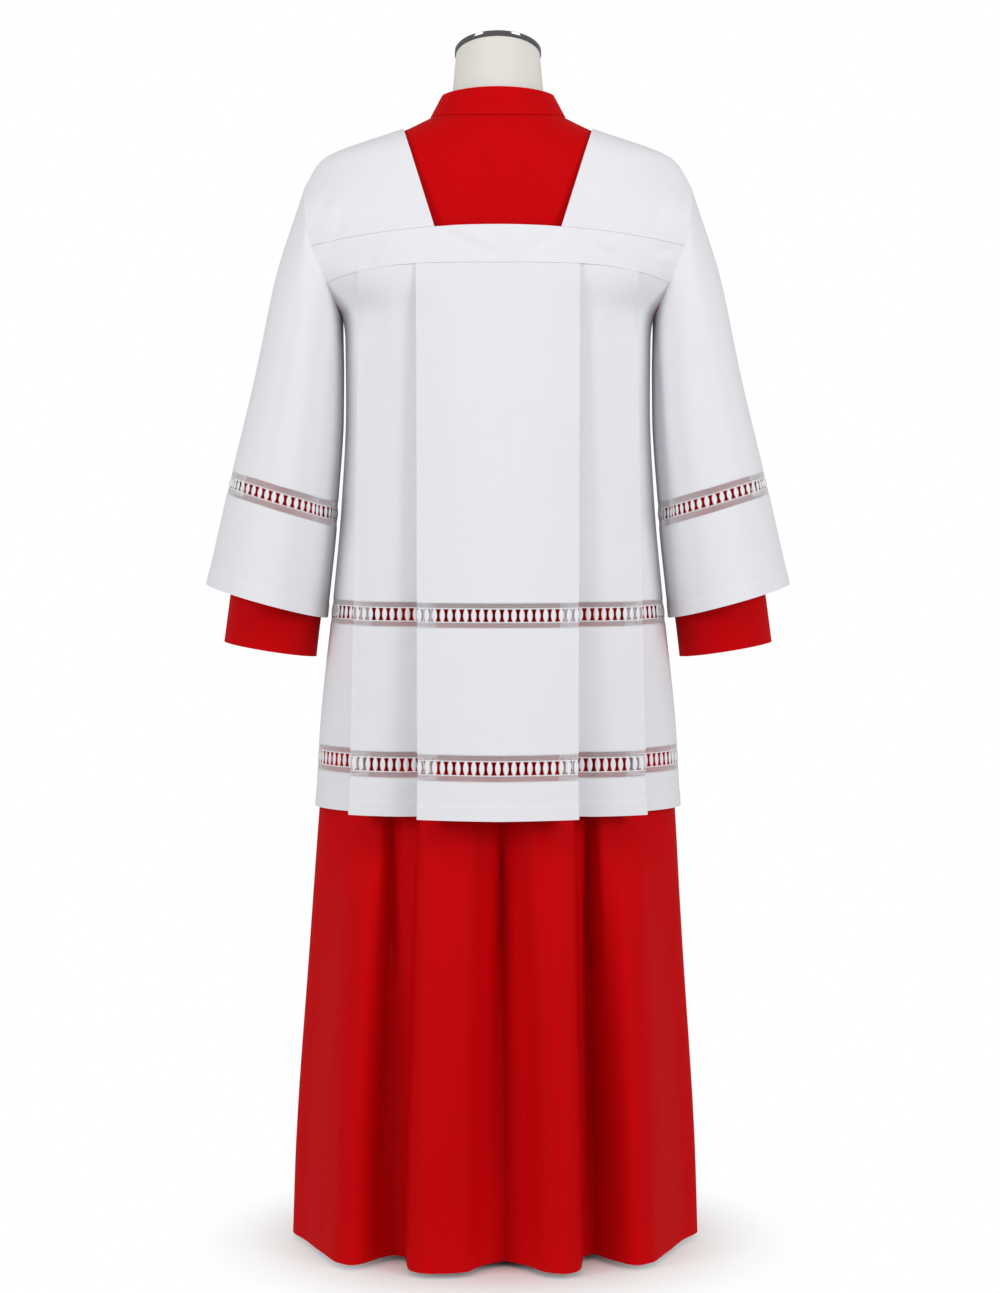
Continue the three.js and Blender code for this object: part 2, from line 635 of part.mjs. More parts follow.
// ---------------------------------------------------------------- surplice, pleated body
// One half of the body's section at height z, side seam to centre, as flat points.
function pleatedHalf(side, z) {
  const share = THREE.MathUtils.clamp((YOKE_BOTTOM.z - z) / (YOKE_BOTTOM.z - HEM_Z), 0, 1);
  const growth = share ** PLEAT_GROWTH;
  const { centre, side: sidePanel } = PLEATS[side];
  const half = atHeight(SURPLICE_SECTIONS, "half", z);
  const power = atHeight(SURPLICE_SECTIONS, "power", z);
  const edgeX = z > BODY_TOP_ROWS[0] ? armholeX(z) : half;
  const sideX = mix(sidePanel.yokeX, sidePanel.hemX, share);
  const centreX = mix(centre.yokeX, centre.hemX, share);
  const spacing = mix(PRESSED_STEP / 2, PRESSED_STEP, growth);
  const base = (x) => Math.max(SEAM / 2, depthAt(SURPLICE_SECTIONS, side, x, z));
  const sideY = (x) => {
    const rise = mix(sidePanel.middleRise, sidePanel.edgeRise, (x - centreX) / (sideX - centreX));
    return base(x) + mix(PRESSED_STEP, rise, growth);
  };
  const centreY = (x) => {
    const rise = mix(centre.middleRise, centre.edgeRise, x / centreX);
    return base(x) + mix(2 * PRESSED_STEP, rise, growth);
  };
  const points = [];
  const turnOf = (x) => Math.asin(Math.min(1, (x / half) ** (power / 2)));
  const [from, to] = [turnOf(edgeX), turnOf(sideX - TUCK)];
  for (let i = 0; i <= FAR_STEPS; i++) {
    const x = half * Math.sin(mix(from, to, i / FAR_STEPS)) ** (2 / power);
    points.push([x, base(x)]);
  }
  const fold = (x, lowerY, upperX, upperY) => {
    points.push([x, lowerY + spacing], [upperX, upperY - spacing]);
  };
  fold(sideX - TUCK, base(sideX - TUCK), sideX, sideY(sideX));
  for (let i = 0; i <= SIDE_STEPS; i++) {
    const x = mix(sideX, centreX - TUCK, i / SIDE_STEPS);
    points.push([x, sideY(x)]);
  }
  fold(centreX - TUCK, sideY(centreX - TUCK), centreX, centreY(centreX));
  for (let i = 0; i <= CENTRE_STEPS; i++) {
    const x = mix(centreX, 0, i / CENTRE_STEPS);
    points.push([x, centreY(x)]);
  }
  return points;
}

const PLEAT_POINTS = FAR_STEPS + SIDE_STEPS + CENTRE_STEPS + 7;

// The whole section of one side at a height for each point, given by heightAt(x). It runs towards
// the wearer's left on the back, and the other way on the front.
function pleatedRow(side, nominal, heightAt) {
  const columns = 2 * PLEAT_POINTS - 1;
  const rough = pleatedHalf(side, nominal);
  return Array.from({ length: columns }, (_, c) => {
    const k = Math.min(c, columns - 1 - c);
    const sign = c < PLEAT_POINTS ? -1 : 1;
    const z = heightAt(rough[k][0]);
    const [x, y] = pleatedHalf(side, z)[k];
    return new THREE.Vector3(sign * facing[side] * x, facing[side] * y, z);
  });
}

const levelRow = (side, z) => pleatedRow(side, z, () => z);

function bodyTopGrid(side) {
  const seam = (x) => seamHeight(YOKE_BOTTOM, x) - SEAM / 2;
  const armpit = BODY_TOP_ROWS[0];
  const rows = [0, 0.55].map((share) => {
    return pleatedRow(side, YOKE_BOTTOM.z, (x) => mix(seam(x), armpit, share));
  });
  const rest = BODY_TOP_ROWS.map((z) => levelRow(side, z === LACE_UPPER.top ? z + SEAM / 2 : z));
  return [...rows, ...rest];
}

const bodyTops = {};
for (const side of ["back", "front"]) {
  bodyTops[side] = wall(bodyTopGrid(side), SURPLICE_WALL, true);
  add("surplice_body_" + side + "_top", bodyTops[side].geometry, WHITE);
  const middle = [LACE_UPPER.bottom - SEAM / 2, LACE_LOWER.top + SEAM / 2].map((z) => levelRow(side, z));
  add("surplice_body_" + side + "_middle", wall(middle, SURPLICE_WALL, true).geometry, WHITE);
  const hem = [LACE_LOWER.bottom - SEAM / 2, HEM_Z].map((z) => levelRow(side, z));
  add("surplice_hem_" + side, wall(hem, SURPLICE_WALL, true).geometry, WHITE);
}

// ---------------------------------------------------------------- surplice, sleeves
for (const [name, sign] of Object.entries(SIDES)) {
  const edges = (side) => {
    const atBack = side === "back";
    const column = (sign > 0) === atBack ? -1 : 0;
    const armColumn = sign > 0 ? 0 : -1;
    const ridge = SHOULDER_SHARES.length - 1;
    const shoulder = SHOULDER_SHARES.map((_, k) =>
      shoulders[name].edge(atBack ? ridge - k : ridge + k, armColumn),
    );
    const yoke = YOKE_SHARES.map((_, r) => yokes[side].edge(r, column));
    const body = [0, 1, 2].map((r) => bodyTops[side].edge(r, column));
    return [
      ...shoulder.slice(0, -1),
      between(shoulder.at(-1), yoke[0], 0.5),
      between(yoke.at(-1), body[0], 0.5),
      ...body.slice(1),
    ];
  };
  const loop = armholeLoop(edges("back"), edges("front"));
  const whole = SURPLICE_SLEEVE;
  const laceTop = shiftedSection(whole[SLEEVE_LACE_TOP], whole[SLEEVE_LACE_TOP - 1], SEAM / 2);
  const top = [...whole.slice(0, SLEEVE_LACE_TOP), laceTop];
  add("surplice_sleeve_" + name, tube(sleeveRings(loop, top, sign, SURPLICE_WALL), sign), WHITE);
  const below = [
    shiftedSection(whole[SLEEVE_LACE_BOTTOM], whole[SLEEVE_LACE_BOTTOM + 1], SEAM / 2),
    ...whole.slice(SLEEVE_LACE_BOTTOM + 1),
  ];
  const hemRings = below.map((section) => ringOf(section, sign, loop.length, SURPLICE_WALL));
  add("surplice_sleeve_hem_" + name, tube(hemRings, sign), WHITE);
}

// ---------------------------------------------------------------- lace
// Where the spindles of a cut stretch stand, and where the stretch begins and ends.
function spindlesIn([from, to]) {
  const end = REPEAT.middleHalf + END_GAP;
  const count = Math.floor((to - from - 2 * end) / REPEAT.pitch) + 1;
  const first = (from + to - (count - 1) * REPEAT.pitch) / 2;
  const middles = Array.from({ length: count }, (_, k) => first + k * REPEAT.pitch);
  return { middles, from: middles[0] - end, to: middles[count - 1] + end };
}

// A band of lace along a line of stations. edgeAt gives its wall edge at a station and a share of
// the height, and cuts the stretches along it, as lengths, that hold spindles and gaps.
function laceWall(count, edgeAt, findCuts) {
  const lengths = [0];
  for (let i = 1; i < count; i++) {
    const [here, before] = [edgeAt(i, 0.5), edgeAt(i - 1, 0.5)];
    lengths.push(lengths[i - 1] + here.outer.distanceTo(before.outer));
  }
  const [outer, inner, faces] = [[], [], []];
  const known = new Map();
  const vertex = (length, share) => {
    const key = length.toFixed(3) + "," + share;
    if (!known.has(key)) {
      const after = lengths.findIndex((l) => l > length + 1e-6);
      const i = after < 0 ? count - 2 : after - 1;
      const part = (length - lengths[i]) / (lengths[i + 1] - lengths[i]);
      const edge = between(edgeAt(i, share), edgeAt(i + 1, share), part);
      known.set(key, outer.length);
      outer.push(edge.outer);
      inner.push(edge.inner);
    }
    return known.get(key);
  };
  const addFace = (corners) => faces.push(corners.map(([length, share]) => vertex(length, share)));
  const { endHalf, middleHalf, railTop, railBottom } = REPEAT;
  const rails = [railTop, railBottom];

  // Plain cloth between two lengths; an end that meets a cut stretch has the rails' corners too.
  const addPlain = (from, to, cutBefore, cutAfter) => {
    const columns = [from, ...lengths.filter((l) => l > from + 0.5 && l < to - 0.5), to];
    for (let i = 0; i + 1 < columns.length; i++) {
      const [a, b] = [columns[i], columns[i + 1]];
      const right = cutAfter && i + 2 === columns.length ? rails.map((share) => [b, share]) : [];
      const left = cutBefore && i === 0 ? [...rails].reverse().map((share) => [a, share]) : [];
      if (left.length) addFace([[b, 0], ...right, [b, 1], [a, 1], ...left, [a, 0]]);
      else addFace([[a, 0], [b, 0], ...right, [b, 1], [a, 1]]);
    }
  };

  const addSpindles = ({ middles, from, to }) => {
    for (const s of middles) {
      const waist = [[s - middleHalf, 0.5], [s + middleHalf, 0.5]];
      addFace([[s - endHalf, railTop], [s + endHalf, railTop], waist[1], waist[0]]);
      addFace([...waist, [s + endHalf, railBottom], [s - endHalf, railBottom]]);
    }
    for (let k = 0; k < middles.length; k += REPEATS_PER_EDGE) {
      const group = middles.slice(k, k + REPEATS_PER_EDGE);
      const lastGroup = k + REPEATS_PER_EDGE >= middles.length;
      const start = k === 0 ? from : middles[k] - REPEAT.pitch / 2;
      const stop = lastGroup ? to : group.at(-1) + REPEAT.pitch / 2;
      const along = [k === 0 ? from : middles[k - 1] + endHalf];
      for (const s of group) along.push(s - endHalf, s + endHalf);
      if (lastGroup) along.push(to);
      const upper = along.map((length) => [length, railTop]);
      const lower = along.map((length) => [length, railBottom]);
      addFace([[start, 0], [stop, 0], ...upper.reverse()]);
      addFace([[start, 1], ...lower, [stop, 1]]);
    }
  };

  const cuts = findCuts(lengths).map(spindlesIn);
  let reached = 0;
  cuts.forEach((cut, i) => {
    addPlain(reached, cut.from, i > 0, true);
    addSpindles(cut);
    reached = cut.to;
  });
  addPlain(reached, lengths.at(-1), true, false);
  return closeWall(outer, inner, faces);
}

// The stretches of the pleated body that are cut: the side and the centre panels, less their tucks.
function bodyCuts(lengths) {
  const last = lengths.length - 1;
  const sideStart = FAR_STEPS + 3;
  const sideEnd = sideStart + SIDE_STEPS;
  const centreStart = sideEnd + 3;
  const stretches = [
    [lengths[sideStart], lengths[sideEnd] - TUCK],
    [lengths[centreStart], lengths[last - centreStart]],
    [lengths[last - sideEnd] + TUCK, lengths[last - sideStart]],
  ];
  return stretches.map(([from, to]) => [from + CUT_MARGIN, to - CUT_MARGIN]);
}

for (const side of ["back", "front"]) {
  for (const [name, band] of Object.entries({ upper: LACE_UPPER, lower: LACE_LOWER })) {
    const rows = [band.top - SEAM / 2, band.bottom + SEAM / 2].map((z) => levelRow(side, z));
    const plain = wall(rows, SURPLICE_WALL, true);
    const edgeAt = (i, share) => between(plain.edge(0, i), plain.edge(1, i), share);
    add("lace_" + side + "_" + name, laceWall(rows[0].length, edgeAt, bodyCuts), LACE_WHITE);
  }
}

// A sleeve's band is a back and a front half. Each runs with its outer side on the same hand.
const SLEEVE_LACE_POINTS = 13;

for (const [name, sign] of Object.entries(SIDES)) {
  const [above, below] = [SURPLICE_SLEEVE[SLEEVE_LACE_TOP], SURPLICE_SLEEVE[SLEEVE_LACE_BOTTOM]];
  const top = shiftedSection(above, below, SEAM / 2);
  const bottom = shiftedSection(below, above, SEAM / 2);
  for (const side of ["back", "front"]) {
    const open = SEAM / 2 / above.halfDepth;
    const turnAt = (i) => facing[side] * mix(open, Math.PI - open, i / (SLEEVE_LACE_POINTS - 1));
    const reversed = sign * facing[side] > 0;
    const edgeAt = (i, share) => {
      const turn = turnAt(reversed ? SLEEVE_LACE_POINTS - 1 - i : i);
      const at = (section) => ({
        outer: sleevePoint(section, sign, turn, SURPLICE_WALL / 2),
        inner: sleevePoint(section, sign, turn, -SURPLICE_WALL / 2),
      });
      return between(at(top), at(bottom), share);
    };
    const sleeveCuts = (lengths) => {
      const cut = lengths.at(-1) * SLEEVE_CUT;
      const stretch = reversed ? [lengths.at(-1) - cut, lengths.at(-1)] : [0, cut];
      return [[stretch[0] + CUT_MARGIN, stretch[1] - CUT_MARGIN]];
    };
    const band = laceWall(SLEEVE_LACE_POINTS, edgeAt, sleeveCuts);
    add("lace_sleeve_" + name + "_" + side, band, LACE_WHITE);
  }
}

// ---------------------------------------------------------------- dress form
// A solid through superellipse rings, top to bottom; tilt raises a ring's back over its front.
function ringSolid(sections) {
  const rings = sections.map((section) =>
    Array.from({ length: FORM_SIDES }, (_, k) => {
      const turn = (2 * Math.PI * k) / FORM_SIDES;
      const round = (value) => Math.sign(value) * Math.abs(value) ** (2 / section.power);
      const [x, across] = [section.half * round(Math.sin(turn)), round(Math.cos(turn))];
      const y = across * (across > 0 ? section.back : section.front);
      return new THREE.Vector3(x, y, section.z + section.tilt * y);
    }),
  );
  const points = rings.flat();
  const top = points.push(new THREE.Vector3(0, 0, sections[0].z + (sections[0].crown ?? 0))) - 1;
  const bottom = points.push(new THREE.Vector3(0, 0, sections.at(-1).z)) - 1;
  const last = (sections.length - 1) * FORM_SIDES;
  const faces = gridFaces(sections.length, FORM_SIDES, true);
  const triangles = faces.flatMap(([a, b, c, d]) => [a, b, c, a, c, d]);
  for (let k = 0; k < FORM_SIDES; k++) {
    const next = (k + 1) % FORM_SIDES;
    triangles.push(top, next, k, bottom, last + k, last + next);
  }
  const geometry = new THREE.BufferGeometry().setFromPoints(points).setIndex(triangles);
  geometry.computeVertexNormals();
  return geometry;
}

add("form_torso", ringSolid([NECK_TOP, ...FORM_SECTIONS]), IVORY);

const capRing = (rise, grow) => ({
  ...NECK_TOP,
  z: NECK_TOP.z + rise,
  half: CAP.half + grow,
  back: CAP.depth + grow,
  front: CAP.depth + grow,
  crown: CAP.crown,
});
const capTop = CAP.gap + CAP.height;
const capRings = [capRing(capTop, -CAP.round), capRing(capTop - CAP.round, 0), capRing(CAP.gap, 0)];
add("form_neck_cap", ringSolid(capRings), CHROME);

const pole = new THREE.CylinderGeometry(POLE.radius, POLE.radius, POLE.top - POLE.bottom, FORM_SIDES);
pole.rotateX(Math.PI / 2);
pole.translate(0, 0, (POLE.top + POLE.bottom) / 2);
add("form_pole", pole, STEEL);

const baseProfile = [
  new THREE.Vector2(0, 0),
  new THREE.Vector2(BASE.radius, 0),
  new THREE.Vector2(BASE.radius, BASE.height - BASE.edge),
  new THREE.Vector2(BASE.radius - BASE.edge, BASE.height),
  new THREE.Vector2(0, BASE.height),
];
add("form_base", new THREE.LatheGeometry(baseProfile, FORM_SIDES + 12).rotateX(Math.PI / 2), STEEL);
export default robe;
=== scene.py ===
"""An altar server robe on a limbless dress form: its cloth, lace, form and studio.

Sizes are millimetres in the robe's own frame: +Z up, the wearer faces -Y, and the origin is the
middle of the base on the floor. Meshes are written in metres.
"""
import logging
import math
from dataclasses import dataclass
from enum import Enum
from typing import NamedTuple, Sequence

import bpy
import numpy as np
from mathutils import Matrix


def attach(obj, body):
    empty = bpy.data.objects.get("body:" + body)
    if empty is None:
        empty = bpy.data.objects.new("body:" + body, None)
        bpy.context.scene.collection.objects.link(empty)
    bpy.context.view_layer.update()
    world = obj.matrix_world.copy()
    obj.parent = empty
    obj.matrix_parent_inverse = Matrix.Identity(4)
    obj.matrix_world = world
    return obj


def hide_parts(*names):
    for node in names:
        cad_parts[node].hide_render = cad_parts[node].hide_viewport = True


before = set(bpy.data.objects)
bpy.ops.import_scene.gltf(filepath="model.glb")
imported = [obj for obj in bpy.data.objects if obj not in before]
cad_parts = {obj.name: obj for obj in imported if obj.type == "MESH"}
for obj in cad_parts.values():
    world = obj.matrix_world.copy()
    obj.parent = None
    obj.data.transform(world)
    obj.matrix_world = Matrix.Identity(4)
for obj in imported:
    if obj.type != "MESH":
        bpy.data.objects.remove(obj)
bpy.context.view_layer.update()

LOG = logging.getLogger("robe")
Array = np.ndarray
MM = 0.001
SEAM = 0.3  # gap between two sewn pieces
SHARP_ANGLE = math.radians(50)
HEM_TURN, HEM_STEP = 18.0, 0.6  # a hem's turned-up cloth: its height, and how far it stands out
RIDGE_ROW, RIDGE_MARGIN, RIDGE_SAMPLES = 4, 20.0, 400  # how far down a shoulder's ridge is looked for
FADE_POWER = 0.7  # how fast a crease fades at its ends: lower is faster
ARMHOLE_CLOSE = 4.0  # how fast an armhole opens from the shoulder plane
TINY = 1e-9  # keeps a division by a length away from zero


class Side(Enum):
    """Which half of a garment, with the way that it faces along Y."""

    BACK = 1
    FRONT = -1

    @property
    def word(self) -> str:
        """The half's name in the tables and in node names."""
        return self.name.lower()


class Hand(Enum):
    """Which arm, with its way along X."""

    LEFT = 1
    RIGHT = -1

    @property
    def word(self) -> str:
        """The arm's name in node names."""
        return self.name.lower()


# ---------------------------------------------------------------- tables
class Section(NamedTuple):
    """A garment's level section: half width, depth behind and before, and squareness."""

    z: float
    half: float
    back: float
    front: float
    power: float


class EdgePoint(NamedTuple):
    """A point of an armhole, in the plane of the shoulders."""

    z: float
    x: float


class FluteShare(NamedTuple):
    """The share of the skirt's flutes at a height, near the middle and towards the side seams."""

    z: float
    middle: float
    side: float


class HemPoint(NamedTuple):
    """A point of the hem's plan: how far out it lies on the wearer's left and right, and its depth."""

    left: float
    right: float
    y: float


class SleeveSection(NamedTuple):
    """A sleeve's section: its outer and inner points, and its half depth."""

    outer_x: float
    outer_z: float
    inner_x: float
    inner_z: float
    depth: float


class Crease(NamedTuple):
    """A soft ridge (or, below zero, trough) along a line in the plane of the shoulders."""

    x0: float
    z0: float
    x1: float
    z1: float
    width: float
    depth: float


class Fold(NamedTuple):
    """A long soft fold of a sleeve: first and last section number, turn, half angle and height."""

    start: float
    end: float
    turn: float
    width: float
    depth: float


CASSOCK_SECTIONS = (
    Section(1402.5, 83, 68, 66, 2.0),
    Section(1386.3, 117, 76, 74, 2.0),
    Section(1349.2, 214, 92, 90, 2.0),
    Section(1331, 227, 97, 96, 2.0),
    Section(1313, 235, 101, 101, 2.0),
    Section(1262, 274, 106, 108, 2.1),
    Section(1225, 256, 108, 110, 2.2),
    Section(1188, 180, 108, 110, 2.3),
    Section(1150, 175, 107, 109, 2.3),
    Section(1050, 174, 107, 107, 2.2),
    Section(920, 181, 112, 111, 2.1),
    Section(805, 196, 117, 116, 2.1),
    Section(650, 214.5, 122, 121, 2.0),
    Section(549, 223, 124, 124, 2.0),
    Section(375, 236, 134, 134, 2.0),
    Section(116, 254.5, 146, 146, 2.0),
    Section(7, 258.5, 150, 150, 2.0),
)
CASSOCK_ARMHOLE = (
    EdgePoint(1313, 235), EdgePoint(1290, 233), EdgePoint(1255, 224), EdgePoint(1220, 203),
    EdgePoint(1188, 180),
)
CASSOCK_SLEEVE = (
    SleeveSection(253, 1262, 198, 1163, 68),
    SleeveSection(271, 1190, 202, 1122, 70),
    SleeveSection(295, 1072, 205, 1028, 69),
    SleeveSection(318, 925, 210, 900, 66),
    SleeveSection(341.5, 754, 228, 735.5, 64),
)
FLUTE_SHARE = (
    FluteShare(900, 0, 0), FluteShare(700, 0.15, 0), FluteShare(549, 0.33, 0.06),
    FluteShare(430, 0.66, 0.5), FluteShare(290, 0.84, 0.8), FluteShare(150, 0.94, 0.93),
    FluteShare(7, 1, 1),
)
SIDE_FROM, SIDE_TO = 0.5, 0.65  # shares of the half width where the middle goes over to the side
# The skirt's plan at the hem, centre to side seam.
HEM = {
    Side.BACK: (
        HemPoint(-9, 9, 143), HemPoint(18, 34, 163), HemPoint(42, 60, 197),
        HemPoint(80, 80, 203), HemPoint(106, 98, 186), HemPoint(114, 105, 124),
        HemPoint(126, 118, 117), HemPoint(151, 142, 143), HemPoint(176, 167, 164),
        HemPoint(194, 186, 152), HemPoint(216, 207, 103), HemPoint(240, 230, 45),
        HemPoint(258.5, 251.5, 0),
    ),
    Side.FRONT: (
        HemPoint(0, 0, 171), HemPoint(24, 24, 172), HemPoint(50, 50, 178),
        HemPoint(76, 75, 184), HemPoint(96, 94, 176), HemPoint(112, 110, 152),
        HemPoint(133, 130, 124), HemPoint(156, 152, 146), HemPoint(178, 174, 152),
        HemPoint(198, 191, 137), HemPoint(219, 211, 96), HemPoint(241, 232, 44),
        HemPoint(258.5, 251.5, 0),
    ),
}
SURPLICE_SECTIONS = (
    Section(1388.6, 117, 80, 78, 2.0),
    Section(1351, 217, 97, 95, 2.0),
    Section(1334.5, 230, 102, 101, 2.0),
    Section(1318, 239, 107, 107, 2.0),
    Section(1262, 296, 115, 116, 2.1),
    Section(1212, 272, 120, 120, 2.2),
    Section(1157, 193, 122, 120, 2.3),
    Section(1130, 189.2, 122, 119, 2.3),
    Section(1050, 188.6, 123, 119, 2.2),
    Section(924, 194.6, 125, 121, 2.1),
    Section(805, 205.5, 128, 124, 2.1),
    Section(650, 222, 131, 129, 2.0),
    Section(549, 228, 132, 132, 2.0),
)
SURPLICE_ARMHOLE = (
    EdgePoint(1318, 239), EdgePoint(1290, 237), EdgePoint(1248, 230), EdgePoint(1200, 211),
    EdgePoint(1157, 193),
)
SURPLICE_SLEEVE = (
    SleeveSection(256, 1272, 193, 1128, 84),
    SleeveSection(277, 1201, 192.5, 1090, 90),
    SleeveSection(303, 1082, 193, 1030, 95),
    SleeveSection(331, 968, 200, 929, 100),
    SleeveSection(338, 938, 202, 896, 101),
    SleeveSection(363, 826, 214, 784, 105),
)


def hermite(knots: Array, values: Array, at: Array, level_end: bool = False) -> Array:
    """Smooth curve through rising knots that never passes them.

    The slope at a knot is the harmonic mean of the slopes beside it, or zero at a turn, and each
    stretch is the cubic with those slopes.

    Args:
        knots: Rising places of the rows.
        values: The size at each.
        at: Where to read the curve.
        level_end: True for a slope of zero at the last knot.

    Returns:
        The size at each place.
    """
    steps = np.diff(knots)
    slopes = np.diff(values) / steps
    product = slopes[:-1] * slopes[1:]
    total = np.where(product > 0, slopes[:-1] + slopes[1:], 1.0)
    inner = np.where(product > 0, 2 * product / total, 0.0)
    tangents = np.concatenate([slopes[:1], inner, slopes[-1:] * (not level_end)])
    place = np.clip(at, knots[0], knots[-1])
    i = np.clip(np.searchsorted(knots, place) - 1, 0, len(steps) - 1)
    t = (place - knots[i]) / steps[i]
    return (
        values[i] * (2 * t**3 - 3 * t**2 + 1)
        + tangents[i] * steps[i] * (t**3 - 2 * t**2 + t)
        + values[i + 1] * (3 * t**2 - 2 * t**3)
        + tangents[i + 1] * steps[i] * (t**3 - t**2)
    )


def at_height(rows: Sequence[tuple], column: str, z: Array) -> Array:
    """Reads a table's column at the heights z.

    Args:
        rows: The table, from the top down.
        column: The column's name.
        z: Heights.

    Returns:
        The column's value at each height.
    """
    knots = np.array([row.z for row in rows], dtype=float)[::-1]
    values = np.array([getattr(row, column) for row in rows], dtype=float)[::-1]
    return hermite(knots, values, np.asarray(z, dtype=float))


def depth_at(sections: Sequence[Section], side: Side, x: Array, z: Array) -> Array:
    """How far a garment stands from the shoulder plane: a superellipse's ordinate at x.

    Args:
        sections: The garment's sections.
        side: Back or front.
        x: Distances from the middle.
        z: Heights.

    Returns:
        depth * (1 - share^power)^(1 / power), where share is x as a share of the half width.
    """
    power = at_height(sections, "power", z)
    share = np.clip(np.abs(x) / at_height(sections, "half", z), 0, 1)
    return at_height(sections, side.word, z) * (1 - share**power) ** (1 / power)


def ridge_height(sections: Sequence[Section], x: Array) -> Array:
    """Height of the shoulder's ridge at x: where the section is just as wide as x.

    Args:
        sections: The garment's sections.
        x: Distances from the middle.

    Returns:
        The ridge's height at each.
    """
    heights = np.linspace(sections[0].z, sections[RIDGE_ROW].z - RIDGE_MARGIN, RIDGE_SAMPLES)
    widths = at_height(sections, "half", heights)
    return np.interp(np.abs(x), widths, heights)


def mix(a: Array, b: Array, share: Array) -> Array:
    """The point a share of the way from a to b."""
    return a + (b - a) * share


def smoothstep(low: float, high: float, value: Array) -> Array:
    """Zero up to low, one from high, and a smooth rise between."""
    t = np.clip((value - low) / (high - low), 0, 1)
    return t * t * (3 - 2 * t)


def creased(creases: Sequence[Crease], x: Array, z: Array) -> Array:
    """Height of all creases at (x, z).

    Each is a bell across its line, depth * exp(-(distance / width)^2), that fades to nothing over
    the line's two ends as a power of the sine of the place along it.

    Args:
        creases: The creases.
        x: Places along X.
        z: Heights.

    Returns:
        Their summed height at each place.
    """
    total = np.zeros(np.broadcast(x, z).shape)
    for c in creases:
        along = np.array([c.x1 - c.x0, c.z1 - c.z0])
        length = float(np.hypot(*along))
        unit = along / length
        place = ((x - c.x0) * unit[0] + (z - c.z0) * unit[1]) / length
        off = (x - c.x0) * unit[1] - (z - c.z0) * unit[0]
        fade = np.sin(np.pi * np.clip(place, 0, 1)) ** FADE_POWER
        total += c.depth * fade * np.exp(-((off / c.width) ** 2))
    return total


def points(x: Array, y: Array, z: Array) -> Array:
    """Stacks three coordinate arrays, broadcast together, into an array of points."""
    return np.stack(np.broadcast_arrays(x, y, z), axis=-1).astype(float)


# ---------------------------------------------------------------- meshes
def quads(rows: int, columns: int, wrap: bool) -> Array:
    """Faces of a grid, seen with the first row above and columns to the right.

    Args:
        rows: Count of rows.
        columns: Points in each.
        wrap: True where the last column meets the first.

    Returns:
        Four corners for each face.
    """
    r = np.arange(rows - 1)[:, None]
    c = np.arange(columns if wrap else columns - 1)[None, :]
    nxt = (c + 1) % columns
    corners = [r * columns + c, r * columns + nxt, (r + 1) * columns + nxt, (r + 1) * columns + c]
    return np.stack(np.broadcast_arrays(*corners), axis=-1).reshape(-1, 4)


def grid_normals(grid: Array, wrap: bool) -> Array:
    """Unit normals of a grid: the cross product of its steps along a row and down a column.

    Args:
        grid: Rows of points.
        wrap: True where the last column meets the first.

    Returns:
        A normal for each point.
    """
    if wrap:
        across = np.roll(grid, -1, axis=1) - np.roll(grid, 1, axis=1)
    else:
        across = np.gradient(grid, axis=1)
    normal = np.cross(across, np.gradient(grid, axis=0))
    return normal / np.maximum(np.linalg.norm(normal, axis=-1, keepdims=True), TINY)


def write_mesh(
    name: str, vertices: Array, faces: Sequence[Array], uv: Array | None = None
) -> bpy.types.Object:
    """Makes an object from arrays.

    Args:
        name: The object's name.
        vertices: Points in millimetres.
        faces: Arrays of faces, each with its own count of corners.
        uv: A texture place in metres for each vertex.

    Returns:
        The object, at the origin.
    """
    mesh = bpy.data.meshes.new(name)
    mesh.from_pydata((vertices.reshape(-1, 3) * MM).tolist(), [], [f for a in faces for f in a.tolist()])
    if uv is not None:
        corner = np.empty(len(mesh.loops), dtype=np.int32)
        mesh.loops.foreach_get("vertex_index", corner)
        mesh.uv_layers.new(name="cloth").data.foreach_set("uv", uv.reshape(-1, 2)[corner].ravel())
    mesh.shade_smooth()
    mesh.set_sharp_from_angle(angle=SHARP_ANGLE)
    mesh.update()
    obj = bpy.data.objects.new(name, mesh)
    bpy.context.scene.collection.objects.link(obj)
    return obj


def cloth_uv(grid: Array) -> Array:
    """Texture places: the length along each row, and down the middle column.

    Args:
        grid: Rows of points in millimetres.

    Returns:
        Two lengths in metres for each point.
    """
    across = np.linalg.norm(np.diff(grid, axis=1), axis=-1).cumsum(axis=1)
    across = np.concatenate([np.zeros((len(grid), 1)), across], axis=1)
    across -= across[:, across.shape[1] // 2][:, None]
    down = np.linalg.norm(np.diff(grid[:, grid.shape[1] // 2], axis=0), axis=-1).cumsum()
    down = np.concatenate([[0.0], down])
    return np.stack(np.broadcast_arrays(across, -down[:, None]), axis=-1) * MM


